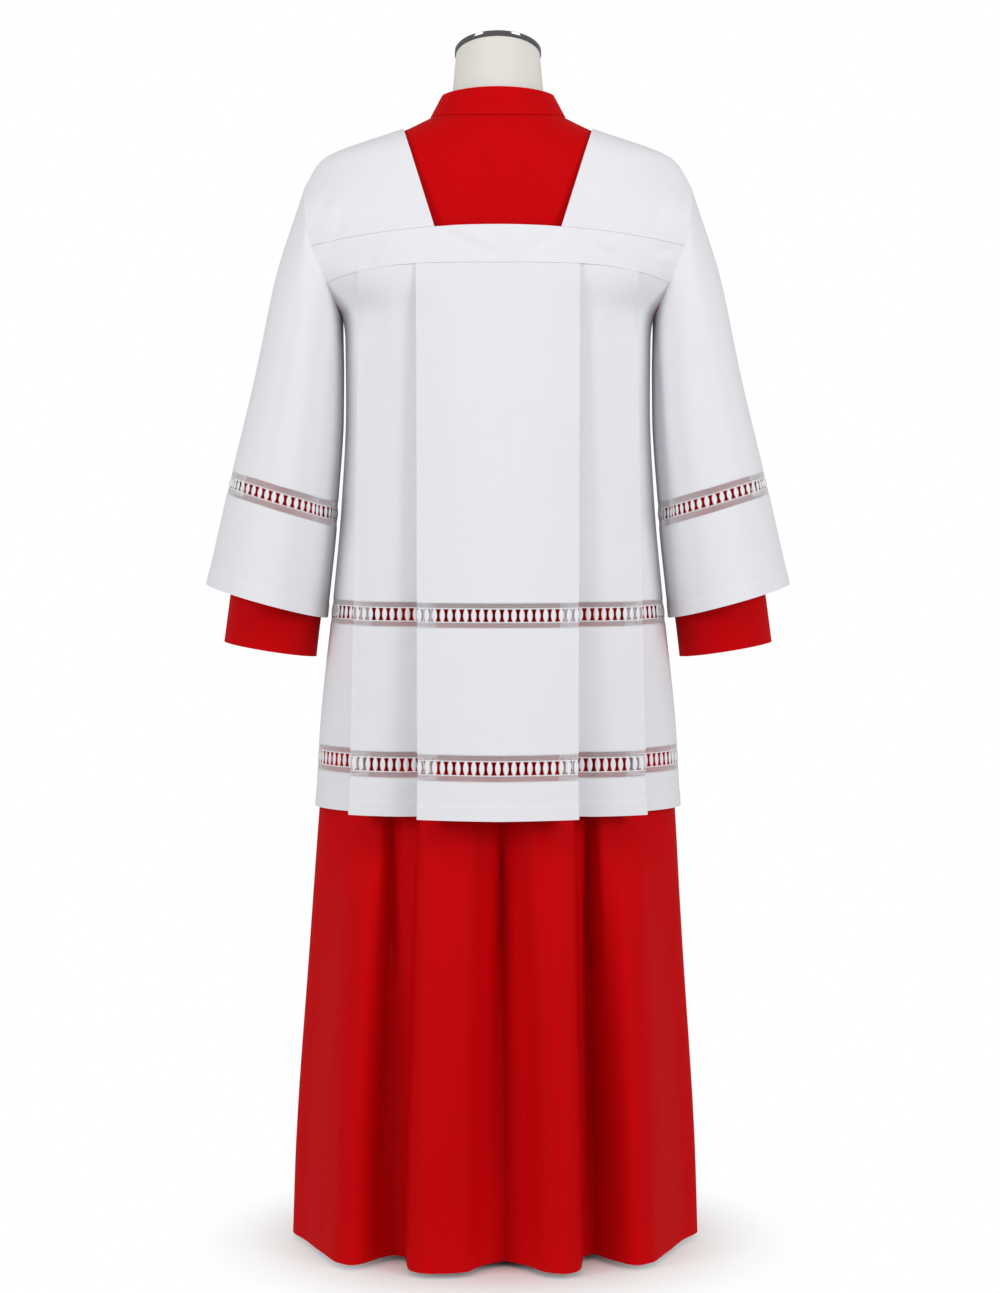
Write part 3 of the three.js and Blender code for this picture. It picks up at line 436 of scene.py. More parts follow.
def cloth(
    name: str, grid: Array, thickness: float, wrap: bool = False, normal: Array | None = None
) -> bpy.types.Object:
    """A closed wall of cloth about a grid of middle points.

    Each point moves half the thickness along its normal to either side, and a strip closes every
    free edge.

    Args:
        name: The object's name.
        grid: Middle points, rows from the top.
        thickness: The wall's thickness.
        wrap: True for a tube.
        normal: The points' normals, where the grid is part of a larger sheet.

    Returns:
        The object.
    """
    rows, columns = grid.shape[:2]
    normal = (grid_normals(grid, wrap) if normal is None else normal) * thickness / 2
    outer = quads(rows, columns, wrap)
    count = rows * columns
    index = np.arange(count).reshape(rows, columns)
    edges = [index[0], index[-1][::-1]]
    if not wrap:
        edges += [index[::-1, 0], index[:, -1]]
    strips = []
    for edge in edges:
        a, b = edge, np.roll(edge, -1)
        if not wrap:
            a, b = edge[:-1], edge[1:]
        strips.append(np.stack([b, a, a + count, b + count], axis=-1))
    uv = cloth_uv(grid)
    body = np.concatenate([(grid + normal).reshape(-1, 3), (grid - normal).reshape(-1, 3)])
    faces = [outer, outer[:, ::-1] + count, *strips]
    return write_mesh(name, body, faces, np.concatenate([uv.reshape(-1, 2)] * 2))


def turned_up(grid: Array, wrap: bool = False) -> Array:
    """Moves out the cloth that is doubled: the last HEM_TURN of each column, by HEM_STEP.

    Args:
        grid: Rows of points from the top.
        wrap: True for a tube.

    Returns:
        The grid with its hem.
    """
    steps = np.linalg.norm(np.diff(grid, axis=0), axis=-1)
    below = np.concatenate([steps[::-1].cumsum(axis=0)[::-1], np.zeros((1, grid.shape[1]))])
    return grid + grid_normals(grid, wrap) * (HEM_STEP * (below < HEM_TURN))[..., None]


# ---------------------------------------------------------------- finishes
MOTTLE_SCALE, MOTTLE_DETAIL = 35, 3
WAVES_PER_UNIT = 0.314  # scale of a wave texture that repeats once in a unit
THREAD_WANDER = 0.6
THREAD_HEIGHT = 1 / 3  # as a share of the thread's pitch


def set_inputs(node: bpy.types.Node, values: dict[str, float | tuple]) -> None:
    """Sets a node's inputs by name."""
    for name, value in values.items():
        node.inputs[name].default_value = value


def add_node(tree: bpy.types.NodeTree, kind: str, values: dict[str, float | tuple]) -> bpy.types.Node:
    """Adds a shader node.

    Args:
        tree: Where it goes.
        kind: Its type, without the common first word.
        values: Its inputs.

    Returns:
        The node.
    """
    node = tree.nodes.new("ShaderNode" + kind)
    set_inputs(node, values)
    return node


@dataclass(frozen=True)
class Finish:
    """A surface: its colour, its sheen and, for cloth, its thread pitch in millimetres."""

    name: str
    colour: tuple[float, float, float]
    shade: tuple[float, float, float]
    roughness: float
    metallic: float = 0.0
    specular: float = 0.5
    weave: float = 0.0
    bump: float = 0.0

    def material(self) -> bpy.types.Material:
        """Builds the material once, and returns the same one after that.

        Returns:
            Its material: noise mottles the colour, and two crossed waves raise the threads.
        """
        made = bpy.data.materials.get(self.name)
        if made:
            return made
        made = bpy.data.materials.new(self.name)
        made.use_nodes = True
        tree = made.node_tree
        shader = tree.nodes["Principled BSDF"]
        set_inputs(shader, {
            "Roughness": self.roughness, "Metallic": self.metallic, "Specular IOR Level": self.specular,
        })
        place = tree.nodes.new("ShaderNodeTexCoord")
        noise = add_node(tree, "TexNoise", {"Scale": MOTTLE_SCALE, "Detail": MOTTLE_DETAIL})
        tint = tree.nodes.new("ShaderNodeMix")
        tint.data_type = "RGBA"
        set_inputs(tint, {"A": (*self.colour, 1), "B": (*self.shade, 1)})
        tree.links.new(place.outputs["Object"], noise.inputs["Vector"])
        tree.links.new(noise.outputs["Fac"], tint.inputs["Factor"])
        tree.links.new(tint.outputs["Result"], shader.inputs["Base Color"])
        if self.weave:
            self.raise_threads(tree, place.outputs["UV"], shader)
        return made

    def raise_threads(
        self, tree: bpy.types.NodeTree, uv: bpy.types.NodeSocket, shader: bpy.types.Node
    ) -> None:
        """Adds the weave as a bump.

        Args:
            tree: The material's nodes.
            uv: Where the cloth's own places come from.
            shader: The shader that the bump goes to.
        """
        threads = tree.nodes.new("ShaderNodeMath")
        threads.operation = "MAXIMUM"
        pitch = self.weave * MM
        for i, direction in enumerate("XY"):
            wave = add_node(tree, "TexWave", {"Scale": WAVES_PER_UNIT / pitch, "Distortion": THREAD_WANDER})
            wave.bands_direction = direction
            tree.links.new(uv, wave.inputs["Vector"])
            tree.links.new(wave.outputs["Fac"], threads.inputs[i])
        bump = add_node(tree, "Bump", {"Strength": self.bump, "Distance": pitch * THREAD_HEIGHT})
        tree.links.new(threads.outputs["Value"], bump.inputs["Height"])
        tree.links.new(bump.outputs["Normal"], shader.inputs["Normal"])


RED = Finish(
    "red_twill", (0.6, 0.0, 0.002), (0.56, 0.0, 0.002), 0.7, specular=0.06, weave=0.5, bump=0.25
)
WHITE = Finish(
    "white_cotton", (0.84, 0.84, 0.875), (0.82, 0.82, 0.855), 0.8, specular=0.2, weave=0.4, bump=0.2
)
LACE = Finish("lace_thread", (0.86, 0.86, 0.89), (0.84, 0.84, 0.87), 0.85, specular=0.2)
LINEN = Finish("form_linen", (0.80, 0.78, 0.73), (0.76, 0.74, 0.69), 0.85, weave=0.7, bump=0.4)
# The cap's base colour is set far darker than bright chrome: painted dark reflection, standing in for a
# dark studio mirrored in the cap.
CHROME_PAINTED_DARK = Finish("cap_chrome", (0.2, 0.2, 0.21), (0.2, 0.2, 0.21), 0.12, metallic=1.0)
STAND = Finish("stand_paint", (0.35, 0.36, 0.38), (0.33, 0.34, 0.36), 0.4)
FLOOR = Finish("studio_floor", (0.9, 0.9, 0.9), (0.9, 0.9, 0.9), 0.6)


def place_piece(obj: bpy.types.Object, node: str, finish: Finish) -> bpy.types.Object:
    """Dresses a piece and lets it stand in for its solid.

    Args:
        obj: The piece.
        node: The solid that it takes the place of.
        finish: Its surface.

    Returns:
        The same piece.
    """
    obj.data.materials.append(finish.material())
    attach(obj, "root")
    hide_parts(node)
    LOG.info("%s takes the place of %s", obj.name, node)
    return obj


# ---------------------------------------------------------------- cassock
COLLAR_BASE, COLLAR_TOP = 83.0, 69.0
COLLAR_BASE_BACK, COLLAR_TOP_DEPTH = 68.0, 61.0
COLLAR_BACK_Z, COLLAR_SIDE_Z, COLLAR_RISE = 1398.0, 1402.5, 35.0
COLLAR_OPENING = 0.035
COLLAR_SIDE_DROP = 9.0  # how much lower the collar stands at the sides of the neck
NECK_STATION, SEAM_STATION, LAST_STATION = 4, 6, 12  # of the hem: neck's end, panel seam, side seam
UPPER_SHARES = (0, 0.02, 0.06, 0.12, 0.2, 0.3, 0.42, 0.55, 0.7, 0.85)  # rows down to the armpit
PLAIN_ROWS, FLUTED_ROWS = (1188, 575, 16), (549, 7, 56)  # first height, last height, count
CASSOCK_CREASES = {
    Side.BACK: (
        Crease(176, 575, 226, -30, 8, 5.0), Crease(-169, 575, -214, -40, 8, 5.5),
        Crease(121, 660, 148, -40, 11, -15), Crease(-106, 660, -118, -40, 9, -17),
        Crease(-10, 640, 5, 60, 12, -13), Crease(86, 640, 96, -20, 8, 2.5),
        Crease(-62, 600, -72, 40, 10, 2.0), Crease(52, 600, 60, 60, 12, 2.5),
        Crease(125, 670, 133, 330, 9, -13), Crease(-110, 670, -113, 330, 8, -12),
        Crease(-8, 660, -2, 340, 11, -8),
    ),
    Side.FRONT: (
        Crease(182, 575, 216, -30, 8, 4.5), Crease(-174, 575, -206, -40, 8, 4.0),
        Crease(127, 640, 136, -40, 11, -12), Crease(-122, 660, -130, -40, 10, -14),
        Crease(60, 600, 70, 40, 12, 2.0), Crease(-66, 600, -80, 60, 10, 2.5),
        Crease(129, 660, 134, 340, 9, -9), Crease(-124, 670, -127, 330, 9, -11),
    ),
}


@dataclass(frozen=True)
class Cassock:
    """The red garment underneath: body panels, placket, collar and long sleeves."""

    thickness: float = 1.5
    steps: int = 8  # columns for each station
    placket_half: float = 21.0
    placket_gap: float = 2.7  # between the middles of the placket and of the front
    placket_columns: int = 15
    collar_lift: float = 3 * SEAM
    collar_rows: int = 9
    collar_columns: int = 97
    sleeve_rows: int = 64
    sleeve_columns: int = 120

    def stations(self, side: Side) -> tuple[Array, ...]:
        """The hem's plan, finer than its table.

        Args:
            side: Back or front.

        Returns:
            The station numbers, and the hem's x on the left, x on the right and y at each.
        """
        table = np.array(HEM[side], dtype=float)
        knots = np.arange(len(table), dtype=float)
        fine = np.linspace(0, knots[-1], len(knots[:-1]) * self.steps + 1)
        left, right = (hermite(knots, column, fine, level_end=True) for column in table.T[:2])
        return fine, left, right, hermite(knots, table[:, 2], fine)

    def top_edge(self, side: Side, station: Array) -> Array:
        """The neck seam, a quarter ellipse, and then the shoulder's ridge.

        Args:
            side: Back or front.
            station: Station numbers.

        Returns:
            A point for each.
        """
        tip = CASSOCK_ARMHOLE[0].x
        turn = np.pi / 2 * np.clip(station / NECK_STATION, 0, 1)
        depth = at_height(CASSOCK_SECTIONS, side.word, COLLAR_SIDE_Z)
        outward = np.clip((station - NECK_STATION) / (LAST_STATION - NECK_STATION), 0, 1)
        x = np.where(outward > 0, mix(COLLAR_BASE, tip, outward), COLLAR_BASE * np.sin(turn))
        z = np.where(
            outward > 0,
            ridge_height(CASSOCK_SECTIONS, x),
            mix(COLLAR_BACK_Z, COLLAR_SIDE_Z, np.sin(turn) ** 2),
        )
        return points(x, np.maximum(SEAM / 2, depth * np.cos(turn)), z)

    def half(self, side: Side, sign: int) -> Array:
        """One half of the body, centre line to side seam.

        Above the armpit each column runs straight down from the top edge. Below it the section
        goes over from the body's own curve to the hem's plan, each by the flutes' share, where
        x = half * share of the hem's half width.

        Args:
            side: Back or front.
            sign: 1 for the wearer's left.

        Returns:
            Rows of points from the neck to the hem.
        """
        station, left, right, hem_y = self.stations(side)
        relative = np.maximum(left, 0) / left[-1]
        own = (left if sign > 0 else right) / left[-1]
        tip, armpit = CASSOCK_ARMHOLE[0], CASSOCK_ARMHOLE[-1]
        share = np.array(UPPER_SHARES)[:, None]
        start = self.top_edge(side, station)
        arm_z = mix(tip.z, armpit.z, share)
        pull = at_height(CASSOCK_ARMHOLE, "x", arm_z) - mix(tip.x, armpit.x, share)
        x = mix(start[:, 0], armpit.x * relative, share) + pull * station / station[-1]
        z = mix(start[:, 2], armpit.z, share)
        y = depth_at(CASSOCK_SECTIONS, side, x, z)
        y = np.where(share == 0, start[:, 1], y)
        upper = points(x, y, z)
        heights = np.concatenate([np.linspace(*PLAIN_ROWS), np.linspace(*FLUTED_ROWS)])[:, None]
        middle, outer = (at_height(FLUTE_SHARE, c, heights) for c in ("middle", "side"))
        held = mix(middle, outer, np.clip((relative - SIDE_FROM) / (SIDE_TO - SIDE_FROM), 0, 1))
        half = at_height(CASSOCK_SECTIONS, "half", heights)
        y = mix(depth_at(CASSOCK_SECTIONS, side, half * relative, heights), hem_y, held)
        lower = points(half * mix(relative, own, middle), y, heights)
        grid = np.concatenate([upper, lower])
        if side is Side.FRONT:
            grid[..., 0] = np.maximum(grid[..., 0], SEAM / 2)
        grid[..., 0] *= sign
        grid[..., 1] = np.maximum(grid[..., 1], SEAM / 2)
        grid[..., 1] += creased(CASSOCK_CREASES[side], grid[..., 0], grid[..., 2])
        grid[..., 1] *= side.value
        return grid

    def build(self) -> None:
        """Makes every piece of the cassock."""
        halves = {hand: self.half(Side.BACK, hand.value) for hand in Hand}
        back = np.concatenate([halves[Hand.RIGHT][:, ::-1], halves[Hand.LEFT][:, 1:]], axis=1)
        last, seam = LAST_STATION * self.steps, SEAM_STATION * self.steps
        self.split(back, {
            "cassock_side_back_right": (0, last - seam),
            "cassock_back": (last - seam, last + seam),
            "cassock_side_back_left": (last + seam, 2 * last),
        })
        fronts = {hand: self.half(Side.FRONT, hand.value) for hand in Hand}
        self.split(fronts[Hand.LEFT][:, ::-1], {
            "cassock_side_front_left": (0, last - seam), "cassock_front_left": (last - seam, last),
        })
        self.split(fronts[Hand.RIGHT], {
            "cassock_front_right": (0, seam), "cassock_side_front_right": (seam, last),
        })
        self.build_placket(fronts)
        self.build_collar()
        for hand in Hand:
            sleeve = Sleeve(CASSOCK_SECTIONS, CASSOCK_ARMHOLE, CASSOCK_SLEEVE, hand)
            tube = sleeve.tube(0, len(CASSOCK_SLEEVE) - 1, self.sleeve_rows, self.sleeve_columns)
            self.panel(f"cassock_sleeve_{hand.word}", tube, (), wrap=True)

    def split(self, grid: Array, panels: dict[str, tuple[int, int]]) -> None:
        """Makes the panels of one sheet, which meet at their seams.

        Args:
            grid: The sheet's middle surface.
            panels: Each panel's node with its first and last columns.
        """
        normal = grid_normals(grid, False)
        for node, (first, last) in panels.items():
            own = slice(first, last + 1)
            self.panel(node, grid[:, own], ("form_torso",), normal=normal[:, own])

    def panel(
        self,
        node: str,
        grid: Array,
        rests_on: Sequence[str],
        wrap: bool = False,
        normal: Array | None = None,
    ) -> None:
        """Makes one piece of red cloth.

        Args:
            node: Its solid.
            grid: Its middle surface.
            rests_on: Not used.
            wrap: True for a tube.
            normal: Its points' normals, where it is part of a larger sheet.
        """
        obj = place_piece(cloth(node + "_cloth", grid, self.thickness, wrap, normal), node, RED)

    def build_placket(self, fronts: dict[Hand, Array]) -> None:
        """Lays the fly strip over the closing: both fronts' points near it, moved forward.

        Args:
            fronts: Each front's half of the body.
        """
        x = np.linspace(1, -1, self.placket_columns) * self.placket_half
        rows = []
        for left, right in zip(fronts[Hand.LEFT], fronts[Hand.RIGHT]):
            line = np.concatenate([right[::-1], left[1:]])
            line = line[np.argsort(line[:, 0])]
            y, z = (np.interp(x, line[:, 0], line[:, axis]) for axis in (1, 2))
            rows.append(points(x, y - self.placket_gap, z))
        self.panel("cassock_placket", np.stack(rows), ("cassock_front_left",))

    def build_collar(self) -> None:
        """Stands the collar on the neck seam, open at the centre front.

        Its rows are ellipses, half * sin(turn) and depth * cos(turn), that narrow upwards.
        """
        turn = np.linspace(-1, 1, self.collar_columns)[None, :] * np.pi * (1 - COLLAR_OPENING)
        share = np.linspace(1, 0, self.collar_rows)[:, None]
        front = at_height(CASSOCK_SECTIONS, "front", COLLAR_SIDE_Z)
        base = np.where(np.cos(turn) < 0, front, COLLAR_BASE_BACK)
        half = mix(COLLAR_BASE, COLLAR_TOP, share)
        depth = mix(base, COLLAR_TOP_DEPTH, share)
        seam = mix(COLLAR_BACK_Z, COLLAR_SIDE_Z, np.sin(turn) ** 2) + self.collar_lift
        rise = COLLAR_RISE - COLLAR_SIDE_DROP * np.sin(turn) ** 2
        grid = points(half * np.sin(turn), depth * np.cos(turn), seam + share * rise)
        self.panel("cassock_collar", grid, ("cassock_back",))


# ---------------------------------------------------------------- sleeves
FOLD_SHIFT = {Hand.LEFT: 0.96, Hand.RIGHT: 1.04}  # so that the two sleeves don't fold alike


@dataclass(frozen=True)
class Sleeve:
    """A sleeve: rings along its sections that meet the body's armhole at the top."""

    body: Sequence[Section]
    armhole: Sequence[EdgePoint]
    sections: Sequence[SleeveSection]
    hand: Hand
    folds: Sequence[Fold] = ()

    def tube(self, start: float, end: float, rows: int, columns: int) -> Array:
        """Points of the sleeve between two section numbers.

        A ring is middle + reach * cos(turn), half depth * sin(turn). To it is added the step from
        the first ring to the armhole, times (1 - t)^2 over the first stretch t.

        Args:
            start: The upper section's number.
            end: The lower section's number.
            rows: Count of rings.
            columns: Points round each.

        Returns:
            Rings from the top, that turn so that the cloth faces out.
        """
        t = np.linspace(start, end, rows)[:, None]
        turn = np.linspace(0, 2 * np.pi, columns, endpoint=False)[None, :]
        if self.hand is Hand.LEFT:
            turn = -turn
        offset = self.loop(turn) - self.ring(np.zeros((1, 1)), turn)
        grid = self.ring(t, turn) + offset * (np.clip(1 - t, 0, 1) ** 2)[..., None]
        grid += self.folded(t, turn)[..., None] * points(np.cos(turn), np.sin(turn), 0)
        grid[..., 0] *= self.hand.value
        return grid

    def folded(self, t: Array, turn: Array) -> Array:
        """Height of the folds: each a bell round the sleeve, that rises and falls as a sine along it.

        Args:
            t: Section numbers.
            turn: Turns round the sleeve.

        Returns:
            The summed height at each place.
        """
        total = np.zeros(np.broadcast(t, turn).shape)
        for fold in self.folds:
            off = (turn - fold.turn * FOLD_SHIFT[self.hand] + np.pi) % (2 * np.pi) - np.pi
            along = np.sin(np.pi * np.clip((t - fold.start) / (fold.end - fold.start), 0, 1))
            total += fold.depth * along * np.exp(-((off / fold.width) ** 2))
        return total

    def ring(self, t: Array, turn: Array) -> Array:
        """Rings at section numbers.

        Args:
            t: Section numbers.
            turn: Turns round the sleeve.

        Returns:
            Their points, before the step to the armhole.
        """
        table = np.array(self.sections, dtype=float)
        knots = np.arange(len(table), dtype=float)
        outer_x, outer_z, inner_x, inner_z, depth = (hermite(knots, column, t) for column in table.T)
        share = (1 - np.cos(turn)) / 2
        return points(mix(outer_x, inner_x, share), depth * np.sin(turn), mix(outer_z, inner_z, share))

    def loop(self, turn: Array) -> Array:
        """The armhole, from the shoulder's tip round the back to the armpit.

        z falls as a cosine of the turn, and y is the body's depth there, less near both ends.

        Args:
            turn: Turns round the sleeve.

        Returns:
            A point for each.
        """
        z = mix(self.armhole[0].z, self.armhole[-1].z, (1 - np.cos(turn)) / 2)
        x = at_height(self.armhole, "x", z)
        back = depth_at(self.body, Side.BACK, x, z)
        front = depth_at(self.body, Side.FRONT, x, z)
        side = np.sin(turn)
        y = np.where(side > 0, back, -front) * np.clip(np.abs(side) * ARMHOLE_CLOSE, 0, 1)
        return points(x, y, z)


# ---------------------------------------------------------------- surplice
class Seam(NamedTuple):
    """A seam z - fall * (|x| / at)^power on the body."""

    z: float
    fall: float
    at: float
    power: float

    def height(self, x: Array) -> Array:
        """Its height at x."""
        return self.z - self.fall * (np.abs(x) / self.at) ** self.power


class Panel(NamedTuple):
    """A pleat's top layer: its edge at yoke and hem, and how far it stands out at the hem."""

    yoke_x: float
    hem_x: float
    edge_rise: float
    middle_rise: float


YOKE_TOP = Seam(1262, 16, 190, 2)
YOKE_BOTTOM = Seam(1215.6, 9, 168, 4)
NECK_RIDGE_X, NECK_CORNER_X = 117.0, 76.5
HEM_Z = 549.0
ARMPIT_Z = 1157.0
PRESSED_STEP = 3.0
PLEAT_GROWTH = 1.25
TUCK = 20.0
PLEAT_DIP, DIP_WIDTH, DIP_SHARE = 6.0, 17.0, 0.12  # how a layer sinks beside the pleat that lies on it
SWELL_FROM, SWELL_TO = 60, 185  # distances from the middle between which the yoke's swell fades
CENTRE = {Side.BACK: Panel(98, 94.5, 58, 68), Side.FRONT: Panel(98, 96, 50, 58)}
BESIDE = {Side.BACK: Panel(168, 179, 41, 26), Side.FRONT: Panel(168, 178, 34, 23)}
LACES = {"upper": (808.0, 777.0), "lower": (627.5, 595.0)}  # top and bottom of each band
LACE_GAP = 0.2
SEAM_ROUNDS, EDGE_ROUNDS = 30, 6  # how often a seam's end, and a panel's top edge, is improved
RIDGE_CALM = 0.25  # share of a shoulder from its ridge in which its creases come in
LACE_SECTIONS, SECTION_GAP = (3.0, 4.0), 0.002  # where a sleeve's lace lies among its sections
CREASES = {
    Side.BACK: (
        Crease(183, 1288, 213, 1222, 7, -3.2), Crease(203, 1312, 219, 1270, 5, -2.0),
        Crease(194, 1290, 219, 1236, 5, 2.0), Crease(131, 1248, 166, 1212, 6, -2.2),
        Crease(122, 1250, 152, 1213, 7, 1.6), Crease(80, 1262, 2, 1222, 6, -2.0),
        Crease(66, 1262, -4, 1233, 6, 1.5), Crease(-80, 1258, -34, 1228, 6, -1.8),
        Crease(-62, 1256, -16, 1226, 7, 1.2), Crease(-94, 1256, -124, 1229, 5, -2.2),
        Crease(-116, 1236, -154, 1217, 6, -1.6), Crease(-104, 1250, -140, 1232, 6, 1.2),
        Crease(-206, 1306, -184, 1252, 7, -2.4), Crease(-192, 1234, -216, 1231, 5, -2.2),
        Crease(-190, 1226, -212, 1216, 5, 1.8), Crease(1, 1235, 1, 840, 16, -3.0),
        Crease(-96, 1214, -124, 1150, 8, -1.8), Crease(150, 1190, 128, 1020, 12, -1.6),
        Crease(-148, 1180, -136, 960, 12, -1.4), Crease(52, 1190, 46, 860, 14, 1.6),
        Crease(-52, 1170, -60, 820, 15, 1.5), Crease(187, 1180, 190, 860, 7, -2.5),
        Crease(-187, 1180, -192, 880, 7, -2.5),
    ),
    Side.FRONT: (
        Crease(-186, 1290, -212, 1226, 7, -3.0), Crease(186, 1284, 210, 1228, 7, -2.6),
        Crease(-84, 1260, -10, 1224, 6, -1.8), Crease(76, 1260, 22, 1226, 6, -2.0),
        Crease(132, 1248, 160, 1216, 6, -2.0), Crease(-126, 1250, -150, 1220, 6, -1.6),
        Crease(-3, 1230, -6, 850, 16, -2.5), Crease(50, 1180, 54, 900, 14, 1.4),
        Crease(-56, 1190, -48, 840, 14, 1.5), Crease(142, 1180, 132, 980, 12, -1.5),
        Crease(-146, 1190, -130, 1000, 12, -1.6), Crease(188, 1180, 190, 880, 7, -2.2),
        Crease(-187, 1180, -191, 860, 7, -2.4),
    ),
}
# Folds of a sleeve, along its own length and round it: section number, turn, width and depth.
SLEEVE_FOLDS = (
    Fold(0.3, 4.7, 2.55, 0.16, -4.5), Fold(0.5, 5.0, 1.9, 0.2, 2.2), Fold(0.2, 4.2, 1.3, 0.16, -2.0),
    Fold(0.8, 5.0, 0.75, 0.2, 2.0), Fold(0.6, 4.9, 0.2, 0.2, -1.6), Fold(0.3, 4.6, -2.5, 0.16, -4.0),
    Fold(0.6, 5.0, -1.9, 0.2, 2.4), Fold(0.2, 4.0, -1.2, 0.18, -2.2), Fold(0.9, 5.0, -0.6, 0.2, 1.8),
)


class Part(Enum):
    """The parts of a pleated half section, from the side seam to the centre."""

    FAR = 21
    FAR_TUCK = 4
    FAR_UNDER = 6
    SIDE_EDGE = 5
    BESIDE = 15
    SIDE_TUCK = 3
    SIDE_UNDER = 7
    CENTRE_EDGE = 8
    CENTRE = 19


def part_columns() -> tuple[Array, Array]:
    """Parts out the columns of a half section.

    Returns:
        The number of each column's part, and the column's share of the way along it.
    """
    kinds, shares = [], []
    for k, part in enumerate(Part):
        turned = part.name.endswith(("TUCK", "EDGE"))
        along = np.linspace(0, 1, part.value + 2)[1:-1] if turned else np.linspace(0, 1, part.value)
        kinds.append(np.full(part.value, k))
        shares.append(along)
    return np.concatenate(kinds), np.concatenate(shares)


@dataclass(frozen=True)
class Surplice:
    """The white garment on top: shoulders, yokes, pleated panels and wide sleeves."""

    thickness: float = 1.2
    sleeve_columns: int = 160
    sleeve_rows: int = 72
    sleeve_hem_rows: int = 34
    top_rows: int = 64
    middle_rows: int = 26
    hem_rows: int = 20
    lace_rows: int = 7
    yoke_rows: int = 14
    yoke_columns: int = 121
    shoulder_rows: int = 26
    shoulder_spread: float = 1.8  # how much closer a shoulder's rows lie near its ridge

    def armhole_x(self, z: Array) -> Array:
        """The armhole's x at height z."""
        return at_height(SURPLICE_ARMHOLE, "x", z)

    def seam_end(self, seam: Seam) -> float:
        """The height where a seam meets the armhole, by halving the miss until none is left.

        Args:
            seam: The seam.

        Returns:
            Its height there.
        """
        z = seam.z
        for _ in range(SEAM_ROUNDS):
            z = (z + float(seam.height(self.armhole_x(z)))) / 2
        return z

    def build(self) -> None:
        """Makes every piece of the surplice."""
        for hand in Hand:
            self.panel(f"surplice_shoulder_{hand.word}", self.shoulder(hand), ("cassock_back",))
            self.build_sleeve(hand)
        under = {Side.BACK: "cassock_back", Side.FRONT: "cassock_front_left"}
        for side in Side:
            self.panel(f"surplice_yoke_{side.word}", self.yoke(side), (under[side],))
            self.build_body(side)

    def build_sleeve(self, hand: Hand) -> None:
        """Makes a sleeve, its lace and its hem.

        Args:
            hand: Which arm.
        """
        whole = Sleeve(SURPLICE_SECTIONS, SURPLICE_ARMHOLE, SURPLICE_SLEEVE, hand, SLEEVE_FOLDS)
        upper_end, hem_start = LACE_SECTIONS[0] - SECTION_GAP, LACE_SECTIONS[1] + SECTION_GAP
        upper = whole.tube(0, upper_end, self.sleeve_rows, self.sleeve_columns)
        hem = whole.tube(hem_start, len(SURPLICE_SLEEVE) - 1, self.sleeve_hem_rows, self.sleeve_columns)
        self.panel(f"surplice_sleeve_{hand.word}", upper, (), wrap=True)
        self.panel(f"surplice_sleeve_hem_{hand.word}", turned_up(hem, wrap=True), (), wrap=True)
        self.build_sleeve_lace(whole)

    def build_body(self, side: Side) -> None:
        """Makes the pleated panels of one side and the lace between them.

        Args:
            side: Back or front.
        """
        (_, top_end), (middle_end, hem_start) = LACES.values()
        middle = self.level(side, top_end - LACE_GAP, middle_end + LACE_GAP, self.middle_rows)
        hem = self.level(side, hem_start - LACE_GAP, HEM_Z, self.hem_rows)
        self.panel(f"surplice_body_{side.word}_top", self.body_top(side), ())
        self.panel(f"surplice_body_{side.word}_middle", middle, ())
        self.panel(f"surplice_hem_{side.word}", turned_up(hem), ())
        for word, (top, bottom) in LACES.items():
            LaceBand(self.level(side, top, bottom, self.lace_rows), f"lace_{side.word}_{word}").build()

    def panel(self, node: str, grid: Array, rests_on: Sequence[str], wrap: bool = False) -> None:
        """Makes one piece of white cloth.

        Args:
            node: Its solid.
            grid: Its middle surface.
            rests_on: Not used.
            wrap: True for a tube.
        """
        obj = place_piece(cloth(node + "_cloth", grid, self.thickness, wrap), node, WHITE)

    def shoulder(self, hand: Hand) -> Array:
        """The strip over the shoulder, from the back yoke seam to the front one.

        x and z go straight from the ridge to the seam, with x pulled to the armhole's curve, and y
        is the body's depth there with its creases.

        Args:
            hand: Which shoulder.

        Returns:
            Rows that run across from neck to armhole, or back on the left.
        """
        tip, end_z = SURPLICE_ARMHOLE[0], self.seam_end(YOKE_TOP)
        end_x = float(self.armhole_x(end_z))
        share = (np.linspace(0, 1, self.shoulder_rows) ** self.shoulder_spread)[:, None]
        across = np.linspace(0, 1, self.shoulder_rows)[None, :]
        arm_z = mix(tip.z, end_z, share)
        pull = self.armhole_x(arm_z) - mix(tip.x, end_x, share)
        ridge_x = mix(NECK_RIDGE_X, tip.x, across)
        seam_x = mix(NECK_CORNER_X, end_x, across)
        x = mix(ridge_x, seam_x, share) + pull * across
        z = mix(ridge_height(SURPLICE_SECTIONS, ridge_x), YOKE_TOP.height(seam_x) + SEAM / 2, share)
        below_ridge = smoothstep(0, RIDGE_CALM, share)
        halves = []
        for side in Side:
            depth = depth_at(SURPLICE_SECTIONS, side, x, z) * (share > 0)
            depth += below_ridge * creased(CREASES[side], hand.value * x, z)
            halves.append(points(hand.value * x, side.value * depth, z))
        back, front = halves
        grid = np.concatenate([back[:0:-1], front])
        return grid[:, ::-1] if hand is Hand.LEFT else grid

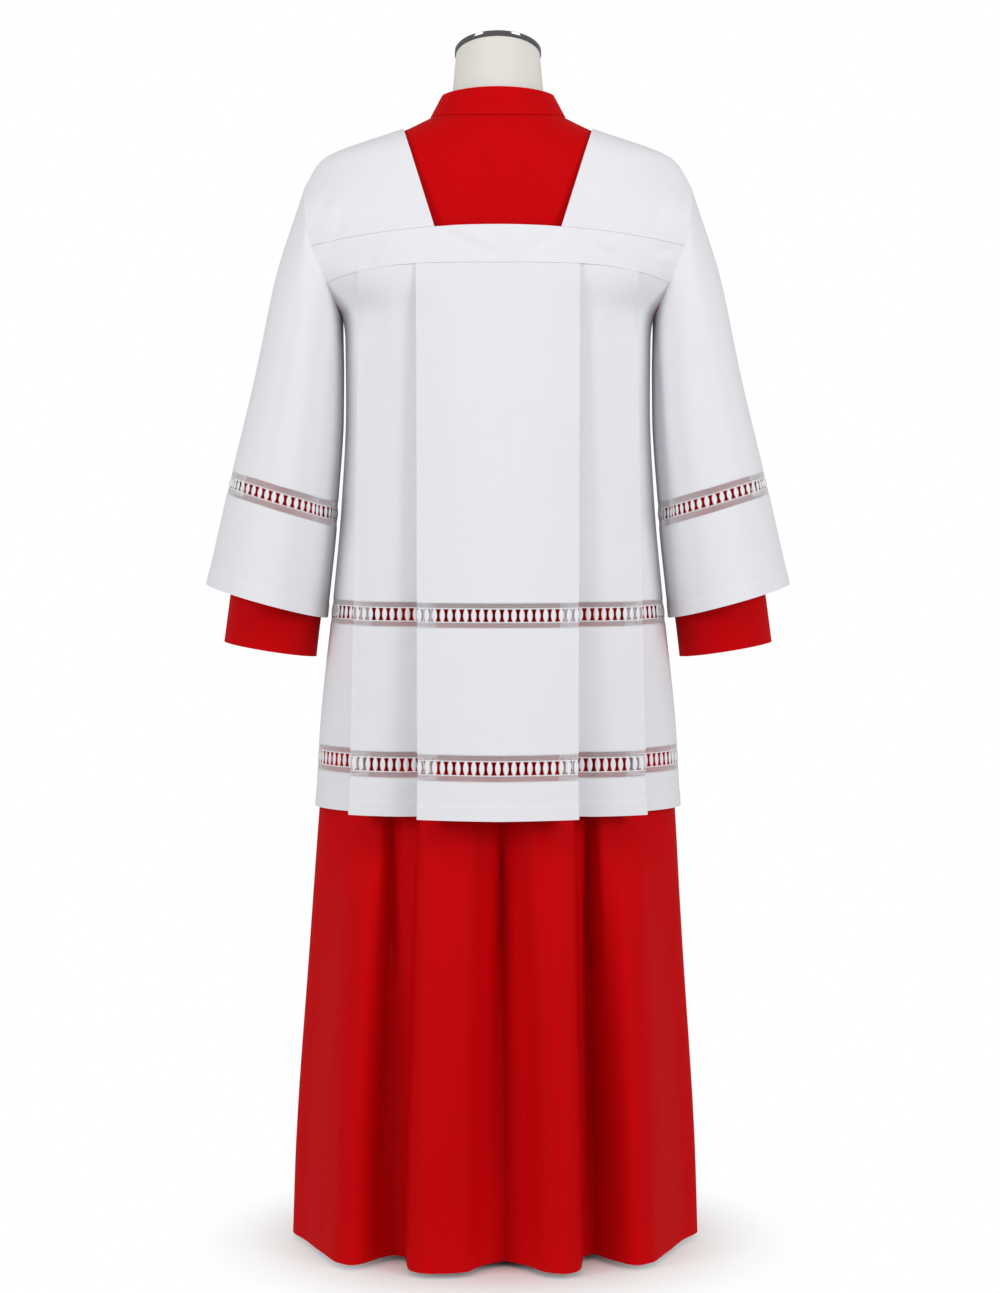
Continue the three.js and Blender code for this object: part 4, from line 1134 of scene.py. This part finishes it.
    def yoke(self, side: Side) -> Array:
        """The band under the neckline, that swells at its lower seam over the pressed pleats.

        z goes straight from seam to seam, and y is the body's depth with the swell, which grows
        down the band as 2 * PRESSED_STEP * share.

        Args:
            side: Back or front.

        Returns:
            Rows from the upper seam to the lower one.
        """
        share = np.linspace(0, 1, self.yoke_rows)[:, None]
        across = np.linspace(-1, 1, self.yoke_columns)[None, :]
        arm_z = mix(self.seam_end(YOKE_TOP), self.seam_end(YOKE_BOTTOM), share)
        x = self.armhole_x(arm_z) * across
        z = mix(YOKE_TOP.height(x) - SEAM / 2, YOKE_BOTTOM.height(x) + SEAM / 2, share)
        swell = 2 * PRESSED_STEP * share * (1 - smoothstep(SWELL_FROM, SWELL_TO, np.abs(x)))
        y = depth_at(SURPLICE_SECTIONS, side, x, z) + swell
        return self.crease(side, points(side.value * x, side.value * y, z))

    def crease(self, side: Side, grid: Array) -> Array:
        """Adds a side's creases to a grid, along Y."""
        grid[..., 1] += side.value * creased(CREASES[side], grid[..., 0], grid[..., 2])
        return grid

    def half_section(self, side: Side, z: Array) -> tuple[Array, Array]:
        """One half of the pleated section.

        The far panel follows the body. Each pleat then turns back on itself over TUCK, in two
        half circles with the hidden layer between them, and its top layer stands out by its rise.

        Args:
            side: Back or front.
            z: Heights, one column for each column of the section.

        Returns:
            The section's x and y.
        """
        kind, f = part_columns()
        share = np.clip((YOKE_BOTTOM.z - z) / (YOKE_BOTTOM.z - HEM_Z), 0, 1)
        growth = share**PLEAT_GROWTH
        half, power = (at_height(SURPLICE_SECTIONS, c, z) for c in ("half", "power"))
        edge_x = np.where(z > ARMPIT_Z, self.armhole_x(z), half)
        side_x = mix(BESIDE[side].yoke_x, BESIDE[side].hem_x, share)
        centre_x = mix(CENTRE[side].yoke_x, CENTRE[side].hem_x, share)
        spacing = mix(PRESSED_STEP / 2, PRESSED_STEP, growth)

        def base(x: Array) -> Array:
            """The body's own depth."""
            return np.maximum(SEAM / 2, depth_at(SURPLICE_SECTIONS, side, x, z))

        def risen(x: Array, panel: Panel, steps: int, way: Array) -> Array:
            """A top layer's depth."""
            return base(x) + mix(steps * PRESSED_STEP, mix(panel.middle_rise, panel.edge_rise, way), growth)

        def beside(x: Array) -> Array:
            """The side panel's depth."""
            dip = PLEAT_DIP * smoothstep(0, DIP_SHARE, share) * np.exp(-(((x - centre_x) / DIP_WIDTH) ** 2))
            return risen(x, BESIDE[side], 1, (x - centre_x) / (side_x - centre_x)) - dip

        def centre(x: Array) -> Array:
            """The centre panel's depth."""
            return risen(x, CENTRE[side], 2, x / centre_x)

        def turn_of(x: Array) -> Array:
            """The section's turn at x."""
            return np.arcsin(np.clip(x / half, 0, 1) ** (power / 2))

        radius, arc = spacing / 2, np.pi * f
        low, low_2 = side_x - TUCK, centre_x - TUCK
        far_turn = mix(turn_of(edge_x), turn_of(low), f)
        far = half * np.sin(far_turn) ** (2 / power)
        top = mix(side_x, low_2, f)
        middle = mix(centre_x, 0, f)
        out, tip = radius * (1 - np.cos(arc)), radius * np.sin(arc)
        flat = (
            (far, base(far)),
            (low - tip, base(low) + out),
            (mix(low, side_x, f), mix(base(low) + spacing, beside(side_x) - spacing, f)),
            (side_x + tip, beside(side_x) - spacing + out),
            (top, beside(top)),
            (low_2 - tip, beside(low_2) + out),
            (mix(low_2, centre_x, f), mix(beside(low_2) + spacing, centre(centre_x) - spacing, f)),
            (centre_x + tip, centre(centre_x) - spacing + out),
            (middle, centre(middle)),
        )
        kinds = [np.broadcast_to(kind == k, z.shape) for k in range(len(flat))]
        return np.select(kinds, [x for x, _ in flat]), np.select(kinds, [y for _, y in flat])

    def whole(self, side: Side, z: Array) -> Array:
        """Both halves of the pleated section, creased.

        Args:
            side: Back or front.
            z: Heights, one column for each column of the half section.

        Returns:
            Rows that run across the whole panel.
        """
        x, y = self.half_section(side, z)
        right, left = points(-x, y, z), points(x, y, z)
        grid = np.concatenate([right, left[:, -2::-1]], axis=1)
        grid[..., :2] *= side.value
        return self.crease(side, grid)

    def body_top(self, side: Side) -> Array:
        """The panel from the yoke to the upper lace; its top row follows the yoke's seam.

        Args:
            side: Back or front.

        Returns:
            Its rows.
        """
        count = len(part_columns()[0])
        seam = np.full((1, count), YOKE_BOTTOM.z)
        for _ in range(EDGE_ROUNDS):
            x, _ = self.half_section(side, seam)
            seam = YOKE_BOTTOM.height(x) - SEAM / 2
        share = np.linspace(0, 1, self.top_rows)[:, None]
        return self.whole(side, mix(seam, LACES["upper"][0] + SEAM / 2, share))

    def level(self, side: Side, top: float, bottom: float, rows: int) -> Array:
        """The panel between two level edges."""
        count = len(part_columns()[0])
        return self.whole(side, np.repeat(np.linspace(top, bottom, rows)[:, None], count, axis=1))

    def build_sleeve_lace(self, sleeve: Sleeve) -> None:
        """Makes the two halves of a sleeve's lace, back and front.

        Args:
            sleeve: The sleeve.
        """
        grid = sleeve.tube(*LACE_SECTIONS, self.lace_rows, self.sleeve_columns)
        grid = np.concatenate([grid, grid[:, :1]], axis=1)
        middle = grid.shape[1] // 2
        halves = sorted((grid[:, : middle + 1], grid[:, middle:]), key=lambda half: -half[..., 1].sum())
        for side, half in zip(Side, halves):
            LaceBand(half, f"lace_sleeve_{sleeve.hand.word}_{side.word}").build()


# ---------------------------------------------------------------- lace
@dataclass(frozen=True)
class LaceBand:
    """A strip of lace laid on a grid: two nets, rails, and upright spindles between them."""

    grid: Array
    node: str
    net: float = 2.4  # size of a mesh
    net_width: float = 0.34
    net_depth: float = 0.35
    rail_share: float = 0.24  # how far in the inner rails stand, as a share of the strip's height
    rail_step: float = 3.0
    rail_depth: float = 0.9
    outer_rail: float = 0.8
    inner_rail: float = 1.1
    edge: float = 0.4  # from the strip's edge to the outer rail
    pitch: float = 9.6  # from spindle to spindle
    spindle_end: float = 0.9  # half widths
    spindle_swell: float = 2.4
    spindle_power: float = 0.8
    spindle_flatness: float = 3.0  # times as wide as thick
    spindle_rings: int = 9
    spindle_sides: int = 8

    @property
    def lengths(self) -> Array:
        """Length along the middle row at each column."""
        row = self.grid[len(self.grid) // 2]
        return np.concatenate([[0.0], np.linalg.norm(np.diff(row, axis=0), axis=-1).cumsum()])

    @property
    def height(self) -> float:
        """Height of the strip."""
        column = self.grid[:, self.grid.shape[1] // 2]
        return float(np.linalg.norm(np.diff(column, axis=0), axis=-1).sum())

    def place(self, along: Array, up: Array, out: Array) -> Array:
        """Lays flat points on the strip.

        The place is read between the grid's four nearest points, and moved out along the normal
        that is read the same way.

        Args:
            along: Lengths from the strip's first end.
            up: Heights from its lower edge.
            out: Distances towards the outside.

        Returns:
            The points.
        """
        rows, columns = self.grid.shape[:2]
        lengths = self.lengths
        column = np.interp(along, lengths, np.arange(columns))
        row = np.clip((1 - up / self.height) * (rows - 1), 0, rows - 1)
        i = np.minimum(row.astype(int), rows - 2)
        j = np.minimum(column.astype(int), columns - 2)
        a, b = (row - i)[..., None], (column - j)[..., None]
        normal = grid_normals(self.grid, False)

        def read(values: Array) -> Array:
            """Values between the four nearest."""
            upper = mix(values[i, j], values[i, j + 1], b)
            return mix(upper, mix(values[i + 1, j], values[i + 1, j + 1], b), a)

        return read(self.grid) + read(normal) * out[..., None]

    def threads(self, start: Array, end: Array, width: float, depth: float) -> tuple[Array, Array]:
        """Closed four-sided threads between flat points.

        Args:
            start: Flat first ends, along and up.
            end: Flat second ends.
            width: Across each thread.
            depth: Its thickness.

        Returns:
            Points, and faces with four corners.
        """
        step = end - start
        across = np.stack([-step[:, 1], step[:, 0]], axis=-1)
        across *= width / 2 / np.linalg.norm(across, axis=-1, keepdims=True)
        out = np.full(len(start), depth / 2)
        corners = []
        for flat in (start, end):
            for u, v in ((1, 1), (-1, 1), (-1, -1), (1, -1)):
                at = flat + u * across
                corners.append(self.place(at[:, 0], at[:, 1], v * out))
        body = np.stack(corners, axis=1)
        ring = np.arange(4)
        faces = np.stack([ring, (ring + 1) % 4, (ring + 1) % 4 + 4, ring + 4], axis=-1)
        faces = np.concatenate([faces, [[3, 2, 1, 0], [4, 5, 6, 7]]])
        offsets = 8 * np.arange(len(start))[:, None, None]
        return body.reshape(-1, 3), (faces[None] + offsets).reshape(-1, 4)

    def net_threads(self, low: float, high: float) -> tuple[Array, Array]:
        """The crossing threads of a net: both diagonals of each mesh.

        Args:
            low: Height of its lower edge.
            high: Height of its upper edge.

        Returns:
            Points and faces.
        """
        across = max(1, round(self.lengths[-1] / self.net))
        up = max(1, round((high - low) / self.net))
        s = np.linspace(0, self.lengths[-1], across + 1)
        h = np.linspace(low, high, up + 1)
        left, bottom = (v.ravel() for v in np.meshgrid(s[:-1], h[:-1]))
        right, top = (v.ravel() for v in np.meshgrid(s[1:], h[1:]))
        rising = (np.stack([left, bottom], -1), np.stack([right, top], -1))
        falling = (np.stack([left, top], -1), np.stack([right, bottom], -1))
        start, end = (np.concatenate(pair) for pair in zip(rising, falling))
        return self.threads(start, end, self.net_width, self.net_depth)

    def rail(self, up: float, width: float) -> tuple[Array, Array]:
        """A cord along the strip.

        Args:
            up: Its height.
            width: Its width.

        Returns:
            Points and faces.
        """
        s = np.linspace(0, self.lengths[-1], round(self.lengths[-1] / self.rail_step) + 1)
        line = np.stack([s, np.full_like(s, up)], axis=-1)
        return self.threads(line[:-1], line[1:], width, self.rail_depth)

    def spindles(self, low: float, high: float) -> tuple[Array, Array]:
        """Upright ovals between the rails, thick in the middle.

        Each is a stack of flat rings whose half width is end + swell * sin(pi * share)^power.

        Args:
            low: Height of the lower rail.
            high: Height of the upper rail.

        Returns:
            Points and faces.
        """
        rings, sides = self.spindle_rings, self.spindle_sides
        count = max(1, round(self.lengths[-1] / self.pitch))
        middle = (np.arange(count) + 0.5) * self.lengths[-1] / count
        share = np.linspace(0, 1, rings)
        turn = np.linspace(0, 2 * np.pi, sides, endpoint=False)
        half = self.spindle_end + self.spindle_swell * np.sin(np.pi * share) ** self.spindle_power
        along = middle[:, None, None] + half[None, :, None] * np.cos(turn)
        up = np.broadcast_to(mix(low, high, share)[None, :, None], along.shape)
        out = np.broadcast_to((half[:, None] / self.spindle_flatness * np.sin(turn))[None], along.shape)
        fan = np.arange(1, sides - 1, 2)[:, None]
        ends = np.concatenate([0 * fan, fan + 2, fan + 1, fan], axis=1)
        walls = quads(rings, sides, True)[:, ::-1]
        faces = np.concatenate([walls, ends[:, ::-1], ends + (rings - 1) * sides])
        offsets = rings * sides * np.arange(count)[:, None, None]
        return self.place(along, up, out).reshape(-1, 3), (faces[None] + offsets).reshape(-1, 4)

    def build(self) -> None:
        """Joins the strip's threads into one piece."""
        height = self.height
        low, high = self.rail_share * height, (1 - self.rail_share) * height
        bottom, top = self.edge, height - self.edge
        sets = [
            self.net_threads(bottom, low),
            self.net_threads(high, top),
            self.rail(bottom, self.outer_rail),
            self.rail(low, self.inner_rail),
            self.rail(high, self.inner_rail),
            self.rail(top, self.outer_rail),
            self.spindles(low, high),
        ]
        faces, count = [], 0
        for body, corners in sets:
            faces.append(corners + count)
            count += len(body)
        obj = write_mesh(self.node + "_threads", np.concatenate([body for body, _ in sets]), faces)
        place_piece(obj, self.node, LACE)


# ---------------------------------------------------------------- dress form
FORM_SECTIONS = (
    Section(1439, 56, 55, 55, 2), Section(1408, 61, 59, 58, 2), Section(1400, 74, 60, 59, 2),
    Section(1395, 88, 60, 58, 1.6), Section(1385, 113, 66, 64, 1.45), Section(1351, 203, 82, 80, 1.45),
    Section(1325, 213, 90, 88, 2), Section(1255, 203, 99, 99, 2.4), Section(1188, 170, 100, 102, 2.4),
    Section(1030, 152, 94, 94, 2.2), Section(920, 164, 103, 98, 2.1), Section(820, 172, 108, 100, 2.1),
    Section(752, 168, 104, 98, 2.1), Section(735, 150, 92, 86, 2.1),
)
SHOULDER_RINGS, TORSO_RINGS = (1438, 1380, 30), (1374, 735, 90)  # first height, last height, count


class CapRing(NamedTuple):
    """A ring of the neck cap: its share of the cap's size, and its height over the neck."""

    share: float
    up: float


CAP = (
    CapRing(0.02, 9.2), CapRing(0.5, 8.8), CapRing(0.9, 7.2), CapRing(0.985, 6.7),
    CapRing(1.0, 5.8), CapRing(1.0, 1.0), CapRing(0.985, 0.3), CapRing(0.9, 0.3),
)
POLE = ((16, 10.3), (16, 734.7))  # radius and height
BASE = ((115, 0), (115, 8), (114.4, 9.4), (113, 10))


@dataclass(frozen=True)
class DressForm:
    """The stand: a linen torso with its neck, a slanted chrome cap, a pole and a round base."""

    tilt: float = 0.3  # rise of the neck's top for each step back
    neck_z: float = 1479.5
    neck_half: float = 52.0
    neck_depth: float = 54.0
    neck_rings: int = 14
    cap_half: float = 53.5
    cap_depth: float = 55.5
    seam: float = 0.7  # height of the cover's seams, centre back and front
    sides: int = 96

    def build(self) -> None:
        """Makes every piece of the stand."""
        self.build_torso()
        self.build_cap()
        self.turned("form_pole", POLE)
        self.turned("form_base", BASE)

    def ring(self, half: Array, back: Array, front: Array, power: Array, z: Array, tilt: Array) -> Array:
        """Closed superellipses, with the height tilted along Y.

        x is half * cos^(2 / power), y is depth * sin^(2 / power), each with its sign kept, and the
        height is z + tilt * y.

        Args:
            half: Half widths, one for each ring.
            back: Depths behind.
            front: Depths before.
            power: How square each is.
            z: Heights.
            tilt: Rise for each step back.

        Returns:
            Rings of points.
        """
        turn = np.linspace(0, 2 * np.pi, self.sides, endpoint=False)[None, :]
        c, s = np.cos(turn), np.sin(turn)
        x = half * np.sign(c) * np.abs(c) ** (2 / power)
        y = np.where(s > 0, back, front) * np.sign(s) * np.abs(s) ** (2 / power)
        return points(-x, y, z + tilt * y)

    def round_rings(self, half: Array, depth: Array, z: Array, tilt: Array) -> Array:
        """Closed ellipses, as deep before as behind."""
        return self.ring(half, depth, depth, np.full_like(half, 2.0), z, tilt)

    def capped(self, name: str, rings: Array) -> bpy.types.Object:
        """Closes rings with a flat cap at each end.

        Args:
            name: The object's name.
            rings: Rings from the top.

        Returns:
            The object.
        """
        rows = len(rings)
        last = np.arange(self.sides)
        faces = [quads(rows, self.sides, True), last[None, ::-1], last[None, :] + (rows - 1) * self.sides]
        return write_mesh(name, rings, faces)

    def build_torso(self) -> None:
        """Makes the torso and neck in one."""
        z = np.concatenate([np.linspace(*SHOULDER_RINGS), np.linspace(*TORSO_RINGS)])[:, None]
        columns = [at_height(FORM_SECTIONS, c, z) for c in ("half", "back", "front", "power")]
        body = self.ring(*columns, z, np.zeros_like(z))
        root = FORM_SECTIONS[0]
        share = np.linspace(1, 0, self.neck_rings)[:, None]
        half, depth = mix(root.half, self.neck_half, share), mix(root.back, self.neck_depth, share)
        neck = self.round_rings(half, depth, mix(root.z, self.neck_z, share), self.tilt * share)
        shell = np.concatenate([neck, body])
        shell[:, self.sides // 4, 1] += self.seam
        shell[:, 3 * self.sides // 4, 1] -= self.seam
        obj = self.capped("form_cover_shell", shell)
        place_piece(obj, "form_torso", LINEN)

    def build_cap(self) -> None:
        """Makes the neck cap: a rim with a rounded edge and a shallow crown."""
        share, up = np.array(CAP).T[..., None]
        tilt = np.full_like(share, self.tilt)
        rings = self.round_rings(self.cap_half * share, self.cap_depth * share, self.neck_z + up, tilt)
        place_piece(self.capped("form_cap_rim", rings), "form_neck_cap", CHROME_PAINTED_DARK)

    def turned(self, node: str, profile: Sequence[tuple[float, float]]) -> None:
        """Makes a round piece.

        Args:
            node: Its solid.
            profile: Radii and heights, from the bottom up.
        """
        radius, z = np.array(profile, dtype=float)[::-1].T[..., None]
        rings = self.round_rings(radius, radius, z, np.zeros_like(z))
        place_piece(self.capped(node + "_turned", rings), node, STAND)


# ---------------------------------------------------------------- studio
class SoftLight(NamedTuple):
    """A square soft light: its place and side in metres, and its power in watts."""

    name: str
    place: tuple[float, float, float]
    power: float
    size: float


LIGHTS = (
    SoftLight("left", (3.1, 2.4, 1.6), 49, 1.6),
    SoftLight("right", (-2.9, 2.6, 1.7), 54, 1.6),
    SoftLight("top", (0.0, 2.0, 3.4), 15, 1.8),
)


@dataclass(frozen=True)
class Studio:
    """A pale floor, a white surround, soft lights and the camera. Sizes are in metres."""

    camera_place: tuple[float, float, float] = (-0.0025, 3.625, 0.934)
    camera_dip: float = 2.951  # degrees below level
    lens: float = 80.74  # this and the sensor's width are in millimetres
    sensor: float = 36
    ambient: float = 0.47
    aim: tuple[float, float, float] = (0, 0, 0.9)
    floor_half: float = 3.0
    fade_from: float = 0.12
    fade_to: float = 0.4

    def build(self) -> None:
        """Makes the floor, lights and camera."""
        self.build_floor()
        self.build_world()
        for light in LIGHTS:
            self.add_light(light)
        camera = bpy.data.cameras.new("view")
        camera.lens, camera.sensor_width = self.lens, self.sensor
        camera.dof.use_dof = False
        obj = bpy.data.objects.new("view", camera)
        obj.location = self.camera_place
        obj.rotation_euler = (math.radians(90 - self.camera_dip), 0, math.pi)
        bpy.context.scene.collection.objects.link(obj)
        bpy.context.scene.camera = obj

    def build_floor(self) -> None:
        """Lays a pale floor that fades into the white surround away from the robe."""
        corners = np.array([(-1, -1, 0), (1, -1, 0), (1, 1, 0), (-1, 1, 0)]) * self.floor_half / MM
        floor = write_mesh("studio_floor", corners, [np.array([[0, 1, 2, 3]])])
        material = FLOOR.material()
        nodes, links = material.node_tree.nodes, material.node_tree.links
        place = nodes.new("ShaderNodeTexCoord")
        radius = nodes.new("ShaderNodeVectorMath")
        radius.operation = "LENGTH"
        links.new(place.outputs["Object"], radius.inputs[0])
        fade = nodes.new("ShaderNodeMapRange")
        fade.interpolation_type = "SMOOTHSTEP"
        set_inputs(fade, {"From Min": self.fade_from, "From Max": self.fade_to})
        links.new(radius.outputs["Value"], fade.inputs["Value"])
        clear = nodes.new("ShaderNodeBsdfTransparent")
        both = nodes.new("ShaderNodeMixShader")
        links.new(fade.outputs["Result"], both.inputs["Fac"])
        links.new(nodes["Principled BSDF"].outputs["BSDF"], both.inputs[1])
        links.new(clear.outputs["BSDF"], both.inputs[2])
        links.new(both.outputs["Shader"], nodes["Material Output"].inputs["Surface"])
        floor.data.materials.append(material)

    def build_world(self) -> None:
        """Surrounds the scene with white: full to the eye, and softer as a light."""
        world = bpy.data.worlds.new("surround")
        world.use_nodes = True
        nodes, links = world.node_tree.nodes, world.node_tree.links
        background = nodes["Background"]
        set_inputs(background, {"Color": (1, 1, 1, 1)})
        seen = nodes.new("ShaderNodeLightPath")
        strength = add_node(world.node_tree, "Mix", {"A": self.ambient, "B": 1.0})
        links.new(seen.outputs["Is Camera Ray"], strength.inputs["Factor"])
        links.new(strength.outputs["Result"], background.inputs["Strength"])
        bpy.context.scene.world = world
        bpy.context.scene.view_settings.view_transform = "Standard"

    def add_light(self, soft: SoftLight) -> None:
        """Adds a soft light that points at the robe.

        Args:
            soft: Its place, power and side.
        """
        light = bpy.data.lights.new(soft.name, "AREA")
        light.energy, light.size = soft.power, soft.size
        obj = bpy.data.objects.new(soft.name, light)
        obj.location = soft.place
        toward = np.array(self.aim) - np.array(soft.place)
        yaw = math.atan2(toward[0], -toward[1])
        reach = math.hypot(toward[0], toward[1])
        obj.rotation_euler = (math.atan2(reach, -toward[2]), 0, yaw + math.pi)
        bpy.context.scene.collection.objects.link(obj)


def main() -> None:
    """Builds the robe, its form and the studio."""
    logging.basicConfig(level=logging.INFO, format="%(name)s: %(message)s")
    Cassock().build()
    Surplice().build()
    DressForm().build()
    Studio().build()


if __name__ == "__main__":
    main()
